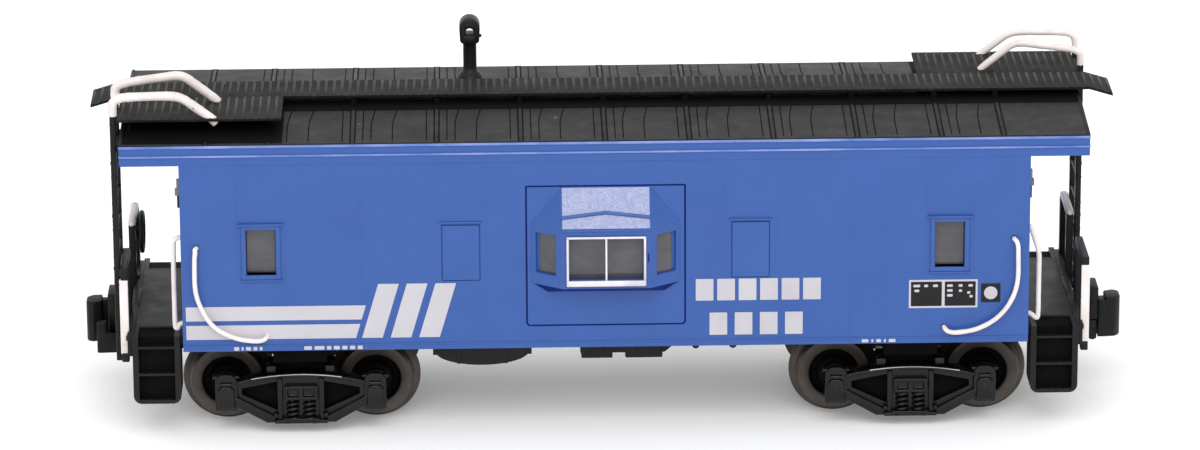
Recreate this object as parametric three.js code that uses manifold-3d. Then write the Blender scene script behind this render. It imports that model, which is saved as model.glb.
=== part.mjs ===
// A bay-window caboose at 1:220, in millimetres.
// +X runs along the car, +Y across it, +Z up. The origin is the middle of the car on the
// surface that the wheel flanges stand on. The car is the same turned half way round, apart
// from its smokejack and brake wheel, so most parts are made for one end and side and turned.
import * as THREE from 'three';
import { mergeVertices } from 'three/addons/utils/BufferGeometryUtils.js';
import { ConvexGeometry } from 'three/addons/geometries/ConvexGeometry.js';
import Module from 'manifold-3d';

const wasm = await Module();
wasm.setup();

// ---------------------------------------------------------------- driving dimensions
const GAP = 0.05; // between pieces that are pressed or glued together

const BODY_HALF_LENGTH = 21.48;
const BODY_HALF_WIDTH = 6.82;
const WALL = 0.8;
const SILL_Z = 4.87;
const LETTERBOARD_Z = 14.75;
const SHELL_TOP_Z = 15.7;
const LETTERBOARD_PROUD = 0.06;
const CANOPY_HALF_LENGTH = 24.45;
const CANOPY_BEAM = 0.35;

const ROOF_EAVE_Z = 15.85;
const ROOF_PEAK_Z = 16.42;
const ROOF_SEAM_PITCH = 4.24;
const ROOF_END_SEAM_X = 20.1;
const SEAM_WIDTH = 0.16;
const SEAM_HEIGHT = 0.06;

const BOARD_TOP_Z = 16.78;
const BOARD_THICKNESS = 0.15;
const BOARD_HALF_WIDTH = 1.4;
const BOARD_HALF_LENGTH = 24.95;
const TONGUE_REACH = 1.2;
const TONGUE_DROP = 0.36;
const LATERAL_X = [16.3, 24.6];
const LATERAL_Y = 5.35;

const WINDOW_X = 17.43;
const WINDOW_Z = [8.95, 11.35];
const WINDOW_HALF_WIDTH = 0.75;
const PLATED_WINDOW_X = 7.33;
const PLATED_WINDOW_HALF_WIDTH = 0.93;
const PLATED_WINDOW_Z = [8.55, 11.45];
const FRAME_WIDTH = 0.25;
const FRAME_PROUD = 0.1;

const BAY_PANEL_X = 4.02;
const BAY_PANEL_Z = [6.06, 13.46];
const BAY_ROOT_X = 3.8;
const BAY_FRONT_X = 2.24;
const BAY_DEPTH = 1.1;
const BAY_FLOOR_Z = 8.35;
const BAY_EAVE_Z = 11.5;
const BAY_RIDGE_Z = 13.4;
const BAY_WINDOW_Z = [8.78, 11.05];
const BAY_WINDOW_HALF_WIDTH = 1.86;
const BAY_SIDE_WINDOW_Z = [8.98, 11.1];
const BAY_SIDE_WINDOW_SPAN = [0.21, 0.85]; // as shares of the slanted wall, from its front

const DOOR_HALF_WIDTH = 1.5;
const DOOR_Z = [5.95, 13.3];
const DOOR_RECESS = 0.15;
const DOOR_WINDOW_HALF_WIDTH = 0.7;
const DOOR_WINDOW_Z = [10.1, 12.6];

const FLOOR_Z = [5.0, 5.6];
const PLATFORM_HALF_WIDTH = 4.5;
const STEP_OUTER_Y = 6.5;
const STEP_X = [21.65, 24.08];
const STEP_PLATE = 0.3;
const STEP_BOTTOM_Z = 2.0;
const STEP_TREAD_ZS = [2.0, 3.45, 4.85];
const TREAD_THICKNESS = 0.22;
// Over the inner axles the centre sill is thinner.
const CENTRE_SILL = { halfLength: 11.1, bottomZ: 3.9, thinHalfLength: 13.2, thinZ: 4.3, halfWidth: 0.9 };
const END_BEAM_X = [24.0, 24.35];
const END_BEAM_Z = 4.4;
const END_BEAM_HALF_WIDTH = 6.0;

const TRUCK_X = 15.6;
const HALF_WHEELBASE = 3.81;
const AXLE_Z = 2.3;
const TREAD_RADIUS = 1.9;
const FLANGE_RADIUS = 2.3;
const WHEEL_BACK_Y = 2.75;
const WHEEL_FACE_Y = 3.9;
const AXLE_RADIUS = 0.4;
const AXLE_TIP_Y = 5.25;
const BORE_RADIUS = 0.45;
const SIDEFRAME_Y = [4.6, 5.65];
const JOURNAL_Y = 5.9;
const BOLSTER_HALF_LENGTH = 1.2;
const TRUCK_TOP_Z = 4.55;
const KINGPIN_RADIUS = 0.5;
const KINGPIN_HOLE_RADIUS = 0.62;

const COUPLER_PIVOT_X = 22.3;
const COUPLER_BOX_X = [20.95, 24.0];
const COUPLER_BOX_HALF_WIDTH = 1.6;
const COUPLER_BOX_Z = 3.5;
const COUPLER_TIP_X = 26.8;
const SHANK_HALF_WIDTH = 0.45;
const SHANK_SPLIT_Z = [4.08, 4.13];
const SHANK_Z = [3.62, 4.6];

const RAILING_X = [24.4, 24.62];
const RAILING_Z = [4.4, 9.0];
const RAILING_POST_YS = [2.4, 5.5];
const RAILING_BAR = 0.45;
const LADDER_X = [24.67, 24.97];
const LADDER_STILE_YS = [2.1, 5.0];
const LADDER_Z = [3.9, 17.15];
const LADDER_STILE = 0.36;
const LADDER_RUNG = 0.2;
const LADDER_FIRST_RUNG_Z = 5.3;
const LADDER_RUNG_PITCH = 1.4;
const LADDER_RUNGS = 9;

const GRAB_RADIUS = 0.14;
const GRAB_OUT_Y = 7.15;
const ROOF_RAIL_RADIUS = 0.21;
const ROOF_RAIL_TOP_Z = 18.2;
const HANDRAIL_X = 22.05;
const HANDRAIL_Y = 6.0;

const BRAKE_WHEEL = { x: -24.05, y: 3.3, z: 8.1, radius: 1.1 };
const SMOKEJACK = { x: -6.76, y: 4.1 };

// ---------------------------------------------------------------- materials
const material = (color, roughness, metalness = 0) =>
  new THREE.MeshStandardMaterial({ color, roughness, metalness });
const BLUE = () => material(0x4a6bb7, 0.55);
const BLACK = () => material(0x2c2b2c, 0.6);
const GLOSS_BLACK = () => material(0x18181a, 0.3);
const ROOF_BLACK = () => material(0x3c3b3d, 0.65);
const WHITE = () => material(0xe8e3e4, 0.5);
const SILVER = () => material(0xd9d8da, 0.35, 0.6);
const SMOKED = () => material(0x6d6a6c, 0.1);
const BLACKENED = () => material(0x5b5450, 0.4, 0.8);
const STEEL = () => material(0x8c8c90, 0.4, 0.9);

// ---------------------------------------------------------------- solids
function toSolid(geometry) {
  const bare = geometry.clone();
  bare.deleteAttribute('normal');
  bare.deleteAttribute('uv');
  const merged = mergeVertices(bare, 1e-5);
  return new wasm.Manifold(new wasm.Mesh({
    numProp: 3,
    vertProperties: new Float32Array(merged.attributes.position.array),
    triVerts: new Uint32Array(merged.index.array),
  }));
}

function toGeometry(solid) {
  const mesh = solid.getMesh();
  const geometry = new THREE.BufferGeometry();
  geometry.setAttribute('position', new THREE.BufferAttribute(mesh.vertProperties, 3));
  geometry.setIndex(new THREE.BufferAttribute(mesh.triVerts, 1));
  geometry.computeVertexNormals();
  return geometry;
}

function join(...solids) {
  return solids.flat().reduce((sum, solid) => sum.add(solid));
}

function cut(solid, ...tools) {
  return tools.flat().reduce((left, tool) => left.subtract(tool), solid);
}

function box([x0, x1], [y0, y1], [z0, z1]) {
  const geometry = new THREE.BoxGeometry(Math.abs(x1 - x0), Math.abs(y1 - y0), Math.abs(z1 - z0));
  return toSolid(geometry.translate((x0 + x1) / 2, (y0 + y1) / 2, (z0 + z1) / 2));
}

const even = (half) => [-half, half];
const outline = (points) => new THREE.Shape(points.map(([a, b]) => new THREE.Vector2(a, b)));

function prism(points, [from, to], rightward, upward) {
  const geometry = new THREE.ExtrudeGeometry(outline(points), {
    depth: to - from,
    bevelEnabled: false,
    curveSegments: 8,
  });
  geometry.translate(0, 0, from);
  const onward = new THREE.Vector3().crossVectors(rightward, upward);
  geometry.applyMatrix4(new THREE.Matrix4().makeBasis(rightward, upward, onward));
  return toSolid(geometry);
}

const X = new THREE.Vector3(1, 0, 0);
const Y = new THREE.Vector3(0, 1, 0);
const Z = new THREE.Vector3(0, 0, 1);
const prismAlongZ = (points, span) => prism(points, span, X, Y);
const prismAlongX = (points, span) => prism(points, span, Y, Z);
const prismAlongY = (points, [y0, y1]) => prism(points, [-y1, -y0], X, Z);

function upright(radius, [z0, z1], [x, y], sides = 20) {
  const geometry = new THREE.CylinderGeometry(radius, radius, z1 - z0, sides);
  return toSolid(geometry.rotateX(Math.PI / 2).translate(x, y, (z0 + z1) / 2));
}

function lying(radius, [y0, y1], [x, z], sides = 16) {
  const geometry = new THREE.CylinderGeometry(radius, radius, y1 - y0, sides);
  return toSolid(geometry.translate(x, (y0 + y1) / 2, z));
}

function turned(profile, sides) {
  return new THREE.LatheGeometry(profile.map(([r, y]) => new THREE.Vector2(r, y)), sides);
}

function wire(points, radius, steps, sides = 6) {
  const path = new THREE.CatmullRomCurve3(points.map((p) => new THREE.Vector3(...p)), false, 'centripetal');
  const section = Array.from({ length: sides }, (_, i) => {
    const angle = (2 * Math.PI * i) / sides;
    return [radius * Math.cos(angle), radius * Math.sin(angle)];
  });
  return new THREE.ExtrudeGeometry(outline(section), { steps, extrudePath: path, bevelEnabled: false });
}

const mirrorX = (points) => points.map(([x, ...rest]) => [-x, ...rest]);

// ---------------------------------------------------------------- the assembly
const caboose = new THREE.Group();

function add(name, shape, finish, { turn = 0, at = [0, 0, 0] } = {}) {
  const geometry = shape.isBufferGeometry ? shape : toGeometry(shape);
  const mesh = new THREE.Mesh(geometry, finish);
  mesh.name = name;
  mesh.rotation.z = turn;
  mesh.position.set(...at);
  caboose.add(mesh);
}

// The near side is the one at -Y, and the right end the one at +X.
const SIDES = [['near', 0], ['far', Math.PI]];
const ENDS = [['right', 0], ['left', Math.PI]];

// ---------------------------------------------------------------- body shell
function windowFrame(x, [z0, z1], halfWidth) {
  return box(
    [x - halfWidth - FRAME_WIDTH, x + halfWidth + FRAME_WIDTH],
    even(BODY_HALF_WIDTH + FRAME_PROUD),
    [z0 - FRAME_WIDTH, z1 + FRAME_WIDTH],
  );
}

function bodyShell() {
  const topZ = [LETTERBOARD_Z, SHELL_TOP_Z];
  const boardY = BODY_HALF_WIDTH + LETTERBOARD_PROUD;
  const walls = box(even(BODY_HALF_LENGTH), even(BODY_HALF_WIDTH), [SILL_Z, SHELL_TOP_Z]);
  const letterboard = box(even(CANOPY_HALF_LENGTH), even(boardY), topZ);
  const frames = [-WINDOW_X, WINDOW_X].map((x) => windowFrame(x, WINDOW_Z, WINDOW_HALF_WIDTH));
  const plates = [-PLATED_WINDOW_X, PLATED_WINDOW_X].map((x) => box(
    [x - PLATED_WINDOW_HALF_WIDTH, x + PLATED_WINDOW_HALF_WIDTH],
    even(BODY_HALF_WIDTH + FRAME_PROUD),
    PLATED_WINDOW_Z,
  ));
  const inside = box(
    even(BODY_HALF_LENGTH - WALL),
    even(BODY_HALF_WIDTH - WALL),
    [SILL_Z - 1, SHELL_TOP_Z + 1],
  );
  const canopies = [-1, 1].map((end) => box(
    [end * BODY_HALF_LENGTH, end * (CANOPY_HALF_LENGTH - CANOPY_BEAM)],
    even(boardY - 0.7),
    [LETTERBOARD_Z - 1, SHELL_TOP_Z + 1],
  ));
  const windows = [-WINDOW_X, WINDOW_X].map((x) => box(
    [x - WINDOW_HALF_WIDTH, x + WINDOW_HALF_WIDTH],
    even(BODY_HALF_WIDTH + 1),
    WINDOW_Z,
  ));
  const bays = box(
    even(BAY_PANEL_X + GAP),
    even(BODY_HALF_WIDTH + 1),
    [BAY_PANEL_Z[0] - GAP, BAY_PANEL_Z[1] + GAP],
  );
  const underframeWays = box(
    even(BODY_HALF_LENGTH + 1),
    even(PLATFORM_HALF_WIDTH + GAP),
    [SILL_Z - 1, FLOOR_Z[1] + GAP],
  );
  const doors = [-1, 1].map((end) => box(
    [end * (BODY_HALF_LENGTH - DOOR_RECESS), end * (BODY_HALF_LENGTH + 0.5)],
    even(DOOR_HALF_WIDTH),
    DOOR_Z,
  ));
  const doorWindows = box(even(BODY_HALF_LENGTH + 1), even(DOOR_WINDOW_HALF_WIDTH), DOOR_WINDOW_Z);
  return cut(
    join(walls, letterboard, frames, plates),
    inside, canopies, windows, bays, underframeWays, doors, doorWindows,
  );
}
add('body_shell', bodyShell(), BLUE());

// ---------------------------------------------------------------- roof and roof walk
function roofSection(rise, halfWidth, floorZ) {
  return [
    [-halfWidth, floorZ],
    [halfWidth, floorZ],
    [halfWidth, ROOF_EAVE_Z + rise],
    [0, ROOF_PEAK_Z + rise],
    [-halfWidth, ROOF_EAVE_Z + rise],
  ];
}

const SEAM_XS = [0, 1, 2, 3, 4].map((i) => i * ROOF_SEAM_PITCH).concat(ROOF_END_SEAM_X)
  .flatMap((x) => (x ? [-x, x] : [x]));

function roof() {
  const floorZ = SHELL_TOP_Z + 0.03;
  const slab = prismAlongX(roofSection(0, BODY_HALF_WIDTH, floorZ), even(CANOPY_HALF_LENGTH));
  const seams = SEAM_XS.map((x) => prismAlongX(
    roofSection(SEAM_HEIGHT, BODY_HALF_WIDTH - 0.02, floorZ + 0.02),
    [x - SEAM_WIDTH / 2, x + SEAM_WIDTH / 2],
  ));
  const saddles = SEAM_XS.map((x) => box(
    [x - 0.2, x + 0.2],
    even(BOARD_HALF_WIDTH - 0.2),
    [ROOF_EAVE_Z, BOARD_TOP_Z - BOARD_THICKNESS - 0.03],
  ));
  return join(slab, seams, saddles);
}
add('roof', roof(), ROOF_BLACK());

function roofZ(y) {
  return ROOF_PEAK_Z - ((ROOF_PEAK_Z - ROOF_EAVE_Z) * Math.abs(y)) / BODY_HALF_WIDTH;
}

function runningBoard() {
  const bottomZ = BOARD_TOP_Z - BOARD_THICKNESS;
  const tipX = BOARD_HALF_LENGTH + TONGUE_REACH;
  const profile = [
    [-tipX, BOARD_TOP_Z - TONGUE_DROP],
    [-tipX, bottomZ - TONGUE_DROP],
    [-BOARD_HALF_LENGTH, bottomZ],
    [BOARD_HALF_LENGTH, bottomZ],
    [tipX, bottomZ - TONGUE_DROP],
    [tipX, BOARD_TOP_Z - TONGUE_DROP],
    [BOARD_HALF_LENGTH, BOARD_TOP_Z],
    [-BOARD_HALF_LENGTH, BOARD_TOP_Z],
  ];
  const walk = prismAlongY(profile, even(BOARD_HALF_WIDTH));
  const legXs = [LATERAL_X[0] + 0.3, (LATERAL_X[0] + LATERAL_X[1]) / 2, LATERAL_X[1] - 0.6];
  const laterals = [-1, 1].flatMap((side) => [
    box(
      [side * LATERAL_X[0], side * LATERAL_X[1]],
      [side * 1, side * LATERAL_Y],
      [bottomZ, BOARD_TOP_Z],
    ),
    ...legXs.map((x) => box(
      [side * (x - 0.15), side * (x + 0.15)],
      [side * (LATERAL_Y - 0.3), side * LATERAL_Y],
      [roofZ(LATERAL_Y - 0.3) + SEAM_HEIGHT + 0.03, bottomZ + 0.02],
    )),
  ]);
  return join(walk, laterals);
}
add('running_board', runningBoard(), BLACK());

// ---------------------------------------------------------------- smokejack
function smokejack() {
  const { x, y } = SMOKEJACK;
  const baseZ = roofZ(y - 0.65) + 0.03;
  const base = upright(0.62, [baseZ, baseZ + 0.2], [x, y], 16);
  const stem = upright(0.37, [baseZ + 0.1, 18.3], [x, y], 16);
  const arch = [];
  for (let i = 0; i <= 8; i += 1) {
    const angle = (Math.PI * i) / 8;
    arch.push([x + 0.535 * Math.cos(angle), 18.82 + 0.53 * Math.sin(angle)]);
  }
  const hood = prismAlongY([...arch, [x - 0.535, 18.0], [x + 0.535, 18.0]], [y - 0.6, y + 0.6]);
  const throat = box([x - 0.22, x + 0.22], [y - 1, y + 1], [18.42, 18.8]);
  return cut(join(base, stem, hood), throat);
}
add('smokejack', smokejack(), BLACK());

// ---------------------------------------------------------------- bay window units
const FACE_Y = -BODY_HALF_WIDTH;
const FRONT_Y = FACE_Y - BAY_DEPTH;
const BAY_WALL = 0.4;

function bayCorners(z) {
  return [
    [-BAY_ROOT_X, FACE_Y, z],
    [-BAY_FRONT_X, FRONT_Y, z],
    [BAY_FRONT_X, FRONT_Y, z],
    [BAY_ROOT_X, FACE_Y, z],
  ];
}

function slantedWindow(side) {
  const along = new THREE.Vector2(BAY_ROOT_X - BAY_FRONT_X, BAY_DEPTH);
  const front = new THREE.Vector2(BAY_FRONT_X, FRONT_Y);
  const out = new THREE.Vector2(along.y, -along.x).normalize();
  const [near, far] = BAY_SIDE_WINDOW_SPAN.map((share) => along.clone().multiplyScalar(share).add(front));
  const corner = (p, reach) => p.clone().add(out.clone().multiplyScalar(reach));
  const corners = [corner(near, 0.5), corner(far, 0.5), corner(far, -0.9), corner(near, -0.9)];
  const points = corners.map((p) => [side * p.x, p.y]);
  return prismAlongZ(side > 0 ? points : points.reverse(), BAY_SIDE_WINDOW_Z);
}

function bayInsert() {
  const hip = [[-BAY_FRONT_X, FACE_Y, BAY_RIDGE_Z], [BAY_FRONT_X, FACE_Y, BAY_RIDGE_Z]];
  const back = FACE_Y + 0.3;
  const root = [BAY_FLOOR_Z, BAY_EAVE_Z].flatMap((z) => [[-BAY_ROOT_X, back, z], [BAY_ROOT_X, back, z]]);
  const hipRoot = [[-BAY_FRONT_X, back, BAY_RIDGE_Z], [BAY_FRONT_X, back, BAY_RIDGE_Z]];
  const corners = [...bayCorners(BAY_FLOOR_Z), ...bayCorners(BAY_EAVE_Z), ...hip, ...root, ...hipRoot];
  const bay = toSolid(new ConvexGeometry(corners.map((p) => new THREE.Vector3(...p))));
  const panel = box(even(BAY_PANEL_X), [FACE_Y, FACE_Y + WALL - GAP], BAY_PANEL_Z);
  const hollow = prismAlongZ(
    [
      [-BAY_ROOT_X + 0.5, FACE_Y + 1],
      [-BAY_ROOT_X + 0.5, FACE_Y],
      [-BAY_FRONT_X + 0.24, FRONT_Y + BAY_WALL],
      [BAY_FRONT_X - 0.24, FRONT_Y + BAY_WALL],
      [BAY_ROOT_X - 0.5, FACE_Y],
      [BAY_ROOT_X - 0.5, FACE_Y + 1],
    ],
    [BAY_FLOOR_Z + 0.3, BAY_EAVE_Z - 0.05],
  );
  const frontWindow = box(even(BAY_WINDOW_HALF_WIDTH), [FRONT_Y - 1, FRONT_Y + 0.5], BAY_WINDOW_Z);
  return cut(join(bay, panel), hollow, frontWindow, slantedWindow(1), slantedWindow(-1));
}

function bayGlazing() {
  const outer = FRONT_Y + BAY_WALL + 0.06;
  const inner = outer + 0.22;
  const points = [
    [-3.22, FACE_Y + 0.02],
    [-1.98, outer],
    [1.98, outer],
    [3.22, FACE_Y + 0.02],
    [3.1, FACE_Y + 0.22],
    [1.92, inner],
    [-1.92, inner],
    [-3.1, FACE_Y + 0.22],
  ];
  return prismAlongZ(points, [BAY_FLOOR_Z + 0.35, BAY_EAVE_Z - 0.1]);
}

function bayWindowFrame() {
  const y = FRONT_Y - 0.03;
  const [z0, z1] = BAY_WINDOW_Z;
  const rim = 0.15;
  const halfMullion = 0.07;
  const panel = box(even(BAY_WINDOW_HALF_WIDTH + rim), [y - 0.1, y], [z0, z1 + 0.1]);
  const sill = box(even(BAY_WINDOW_HALF_WIDTH + rim), [y - 0.17, y], [z0 - 0.26, z0 + 0.04]);
  const lights = [-1, 1].map((side) => box(
    [side * halfMullion, side * (BAY_WINDOW_HALF_WIDTH - 0.01)],
    [y - 1, y + 1],
    [z0 + 0.04, z1 - 0.03],
  ));
  return cut(join(panel, sill), lights);
}

for (const [side, turn] of SIDES) {
  add(`bay_insert_${side}`, bayInsert(), BLUE(), { turn });
  add(`bay_glazing_${side}`, bayGlazing(), SMOKED(), { turn });
  add(`bay_window_frame_${side}`, bayWindowFrame(), SILVER(), { turn });
}

// ---------------------------------------------------------------- glazing in the body
function sideGlazing() {
  const y = FACE_Y + WALL + GAP;
  return box(even(WINDOW_X + 1.9), [y, y + 0.25], [WINDOW_Z[0] - 0.35, WINDOW_Z[1] + 0.35]);
}

function doorGlazing() {
  const x = BODY_HALF_LENGTH - WALL - GAP;
  return box([x - 0.2, x], even(DOOR_WINDOW_HALF_WIDTH + 0.3), [DOOR_WINDOW_Z[0] - 0.3, DOOR_WINDOW_Z[1] + 0.3]);
}

for (const [side, turn] of SIDES) {
  add(`side_glazing_${side}`, sideGlazing(), SMOKED(), { turn });
}
for (const [end, turn] of ENDS) {
  add(`door_glazing_${end}`, doorGlazing(), SMOKED(), { turn });
}

// ---------------------------------------------------------------- wire grab irons and rails
const CORNER_GRAB = [
  [20.5, -7.0, 10.4],
  [20.78, -GRAB_OUT_Y, 10.25],
  [20.88, -GRAB_OUT_Y, 9.7],
  [20.85, -GRAB_OUT_Y, 8.2],
  [20.5, -GRAB_OUT_Y, 7.1],
  [19.8, -GRAB_OUT_Y, 6.25],
  [18.85, -GRAB_OUT_Y, 5.72],
  [17.9, -GRAB_OUT_Y, 5.52],
  [17.42, -GRAB_OUT_Y, 5.62],
  [17.2, -7.0, 5.88],
];

function roofRail(y) {
  return [
    [24.82, y, LADDER_Z[1] + 0.08],
    [24.8, y, 17.6],
    [24.62, y, 17.95],
    [24.2, y, ROOF_RAIL_TOP_Z - 0.1],
    [23.0, y, ROOF_RAIL_TOP_Z],
    [21.75, y, ROOF_RAIL_TOP_Z],
    [21.35, y, ROOF_RAIL_TOP_Z - 0.12],
    [20.9, y, 17.85],
    [19.85, y, BOARD_TOP_Z + 0.22],
  ];
}

function endHandrail(side) {
  const y = side * HANDRAIL_Y;
  const wallX = BODY_HALF_LENGTH + 0.16;
  return [
    [wallX, y, 10.75],
    [HANDRAIL_X - 0.12, y, 10.68],
    [HANDRAIL_X, y, 10.35],
    [HANDRAIL_X, y, 8.2],
    [HANDRAIL_X, y, 6.35],
    [HANDRAIL_X - 0.12, y, 6.02],
    [wallX, y, 5.95],
  ];
}

for (const [side, turn] of SIDES) {
  add(`corner_grab_${side}_a`, wire(CORNER_GRAB, GRAB_RADIUS, 18), WHITE(), { turn });
  add(`corner_grab_${side}_b`, wire(mirrorX(CORNER_GRAB), GRAB_RADIUS, 18), WHITE(), { turn });
}
for (const [end, turn] of ENDS) {
  LADDER_STILE_YS.forEach((y, i) => {
    const place = ['inner', 'outer'][i];
    add(`roof_grab_rail_${end}_${place}`, wire(roofRail(y), ROOF_RAIL_RADIUS, 18), WHITE(), { turn });
  });
  add(`end_handrail_${end}_a`, wire(endHandrail(-1), GRAB_RADIUS, 14), WHITE(), { turn });
  add(`end_handrail_${end}_b`, wire(endHandrail(1), GRAB_RADIUS, 14), WHITE(), { turn });
}

// ---------------------------------------------------------------- end railings and ladders
function endRailing(side) {
  const [inner, outer] = RAILING_POST_YS.map((y) => y * side);
  const half = (side * RAILING_BAR) / 2;
  const whole = box(RAILING_X, [inner - half, outer + half], RAILING_Z);
  const gap = box(
    [RAILING_X[0] - 1, RAILING_X[1] + 1],
    [inner + half, outer - half],
    [RAILING_Z[0] - 1, RAILING_Z[1] - RAILING_BAR],
  );
  return cut(whole, gap);
}

function ladder() {
  const half = LADDER_STILE / 2;
  const [inner, outer] = LADDER_STILE_YS;
  const stiles = LADDER_STILE_YS.map((y) => box(LADDER_X, [y - half, y + half], LADDER_Z));
  const middle = (LADDER_X[0] + LADDER_X[1]) / 2;
  const rungs = Array.from({ length: LADDER_RUNGS }, (_, i) => {
    const z = LADDER_FIRST_RUNG_Z + i * LADDER_RUNG_PITCH;
    return box(
      [middle - LADDER_RUNG / 2, middle + LADDER_RUNG / 2],
      [inner, outer],
      [z - LADDER_RUNG / 2, z + LADDER_RUNG / 2],
    );
  });
  return join(stiles, rungs);
}

for (const [end, turn] of ENDS) {
  add(`end_railing_${end}_a`, endRailing(-1), WHITE(), { turn });
  add(`end_railing_${end}_b`, endRailing(1), WHITE(), { turn });
  add(`end_ladder_${end}`, ladder(), BLACK(), { turn });
}

// ---------------------------------------------------------------- brake wheel on its stand
function brakeWheel() {
  const { x, y, z, radius } = BRAKE_WHEEL;
  const rim = 0.2;
  const disc = (r, thickness) => {
    const geometry = new THREE.CylinderGeometry(r, r, thickness, 16);
    return toSolid(geometry.rotateZ(Math.PI / 2).translate(x, y, z));
  };
  const ring = cut(disc(radius, 0.22), disc(radius - rim, 1));
  const spokes = [0, 60, 120].map((angle) => {
    const geometry = new THREE.BoxGeometry(0.16, 2 * radius - rim, 0.18);
    return toSolid(geometry.rotateX((angle * Math.PI) / 180).translate(x, y, z));
  });
  const hub = disc(0.3, 0.34);
  const stand = box([x - 0.28, x - 0.08], [y - 0.22, y + 0.22], [FLOOR_Z[1] + GAP, z + 0.2]);
  return join(ring, spokes, hub, stand);
}
add('brake_wheel', brakeWheel(), BLACK());

// ---------------------------------------------------------------- underframe
function stepWell(end, side) {
  const xs = STEP_X.map((x) => x * end);
  const ys = [side * PLATFORM_HALF_WIDTH, side * STEP_OUTER_Y];
  const zs = [STEP_BOTTOM_Z, FLOOR_Z[1]];
  const plates = [
    box([xs[0], xs[0] + end * STEP_PLATE], ys, zs),
    box([xs[1] - end * STEP_PLATE, xs[1]], ys, zs),
  ];
  const back = box(xs, [ys[0], ys[0] + side * 0.25], zs);
  const treads = STEP_TREAD_ZS.map((z) => box(xs, ys, [z, z + TREAD_THICKNESS]));
  return join(plates, back, treads);
}

function couplerBox(end) {
  const xs = COUPLER_BOX_X.map((x) => x * end);
  const outer = box(xs, even(COUPLER_BOX_HALF_WIDTH), [COUPLER_BOX_Z, FLOOR_Z[0] + 0.1]);
  const pocket = box(
    [xs[0] + end * 0.25, xs[1] + end * 1],
    even(COUPLER_BOX_HALF_WIDTH - 0.3),
    [COUPLER_BOX_Z - 1, FLOOR_Z[0]],
  );
  const post = upright(0.3, [COUPLER_BOX_Z, FLOOR_Z[0] + 0.1], [end * COUPLER_PIVOT_X, 0], 16);
  return join(cut(outer, pocket), post);
}

// The two middle sections hold the air tank and its neighbours, turned end for end on the far side.
const TANK = { x: 6.3, halfLength: 2.4, depth: 0.85, topZ: 4.3 };

function equipment(side) {
  const ys = [side * 3.4, side * 5.6];
  const span = [Math.min(...ys), Math.max(...ys)];
  const topZ = FLOOR_Z[0] + 0.1;
  const tankX = side * TANK.x;
  const belly = [];
  for (let i = 0; i <= 8; i += 1) {
    const angle = (Math.PI * i) / 8;
    belly.push([tankX - TANK.halfLength * Math.cos(angle), TANK.topZ - TANK.depth * Math.sin(angle)]);
  }
  const corners = [[tankX + TANK.halfLength, topZ], [tankX - TANK.halfLength, topZ]];
  const tank = prismAlongY([...belly, ...corners], span);
  const flanges = [-1, 1].map((end) => {
    const x = tankX + end * (TANK.halfLength + 0.05);
    return box([x - 0.12, x + 0.12], ys, [3.5, topZ]);
  });
  const cases = [[-1.3, 0.35], [1.0, 3.0]].map(([from, to]) => box([-side * from, -side * to], ys, [3.4, topZ]));
  const tie = box([-side * 0.3, -side * 1.1], ys, [4.3, topZ]);
  const lugs = [4.6, 6.5].map((x) => lying(0.27, span, [-side * x, 4.3], 12));
  const hangers = [4.6, 6.5].map((x) => box([-side * x - 0.15, -side * x + 0.15], ys, [4.3, topZ]));
  return [tank, ...flanges, ...cases, tie, ...lugs, ...hangers];
}

function underframe() {
  const bodyLength = BODY_HALF_LENGTH - WALL - GAP;
  const floor = box(even(bodyLength), even(BODY_HALF_WIDTH - WALL - GAP), FLOOR_Z);
  const platforms = box(even(END_BEAM_X[1]), even(PLATFORM_HALF_WIDTH), FLOOR_Z);
  const sill = [[CENTRE_SILL.halfLength, CENTRE_SILL.bottomZ], [CENTRE_SILL.thinHalfLength, CENTRE_SILL.thinZ]]
    .map(([half, z]) => box(even(half), even(CENTRE_SILL.halfWidth), [z, FLOOR_Z[0] + 0.1]));
  const bosses = [-1, 1].map((end) => upright(1.8, [TRUCK_TOP_Z + 0.1, FLOOR_Z[0] + 0.1], [end * TRUCK_X, 0]));
  const holes = [-1, 1].map((end) => upright(KINGPIN_HOLE_RADIUS, [4, 6], [end * TRUCK_X, 0]));
  const beams = [-1, 1].map((end) => cut(
    box(END_BEAM_X.map((x) => x * end), even(END_BEAM_HALF_WIDTH), [END_BEAM_Z, FLOOR_Z[1]]),
    box([end * 23, end * 25], even(COUPLER_BOX_HALF_WIDTH - 0.3), [END_BEAM_Z - 1, FLOOR_Z[0]]),
  ));
  const steps = [-1, 1].flatMap((end) => [-1, 1].map((side) => stepWell(end, side)));
  const boxes = [-1, 1].map(couplerBox);
  const solid = join(floor, platforms, sill, bosses, beams, steps, boxes, equipment(-1), equipment(1));
  return cut(solid, holes);
}
add('underframe', underframe(), BLACK());
add('weight', box(even(13), even(5), [FLOOR_Z[1] + GAP, 7.9]), STEEL());

// ---------------------------------------------------------------- trucks
const SIDEFRAME_OUTLINE = [
  [-4.35, 3.15],
  [-4.35, 1.3],
  [-3.3, 1.3],
  [-3.1, 1.55],
  [-1.35, 0.6],
  [1.35, 0.6],
  [3.1, 1.55],
  [3.3, 1.3],
  [4.35, 1.3],
  [4.35, 3.15],
  [3.3, 3.15],
  [3.1, 2.95],
  [0, 3.28],
  [-3.1, 2.95],
  [-3.3, 3.15],
];

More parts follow.
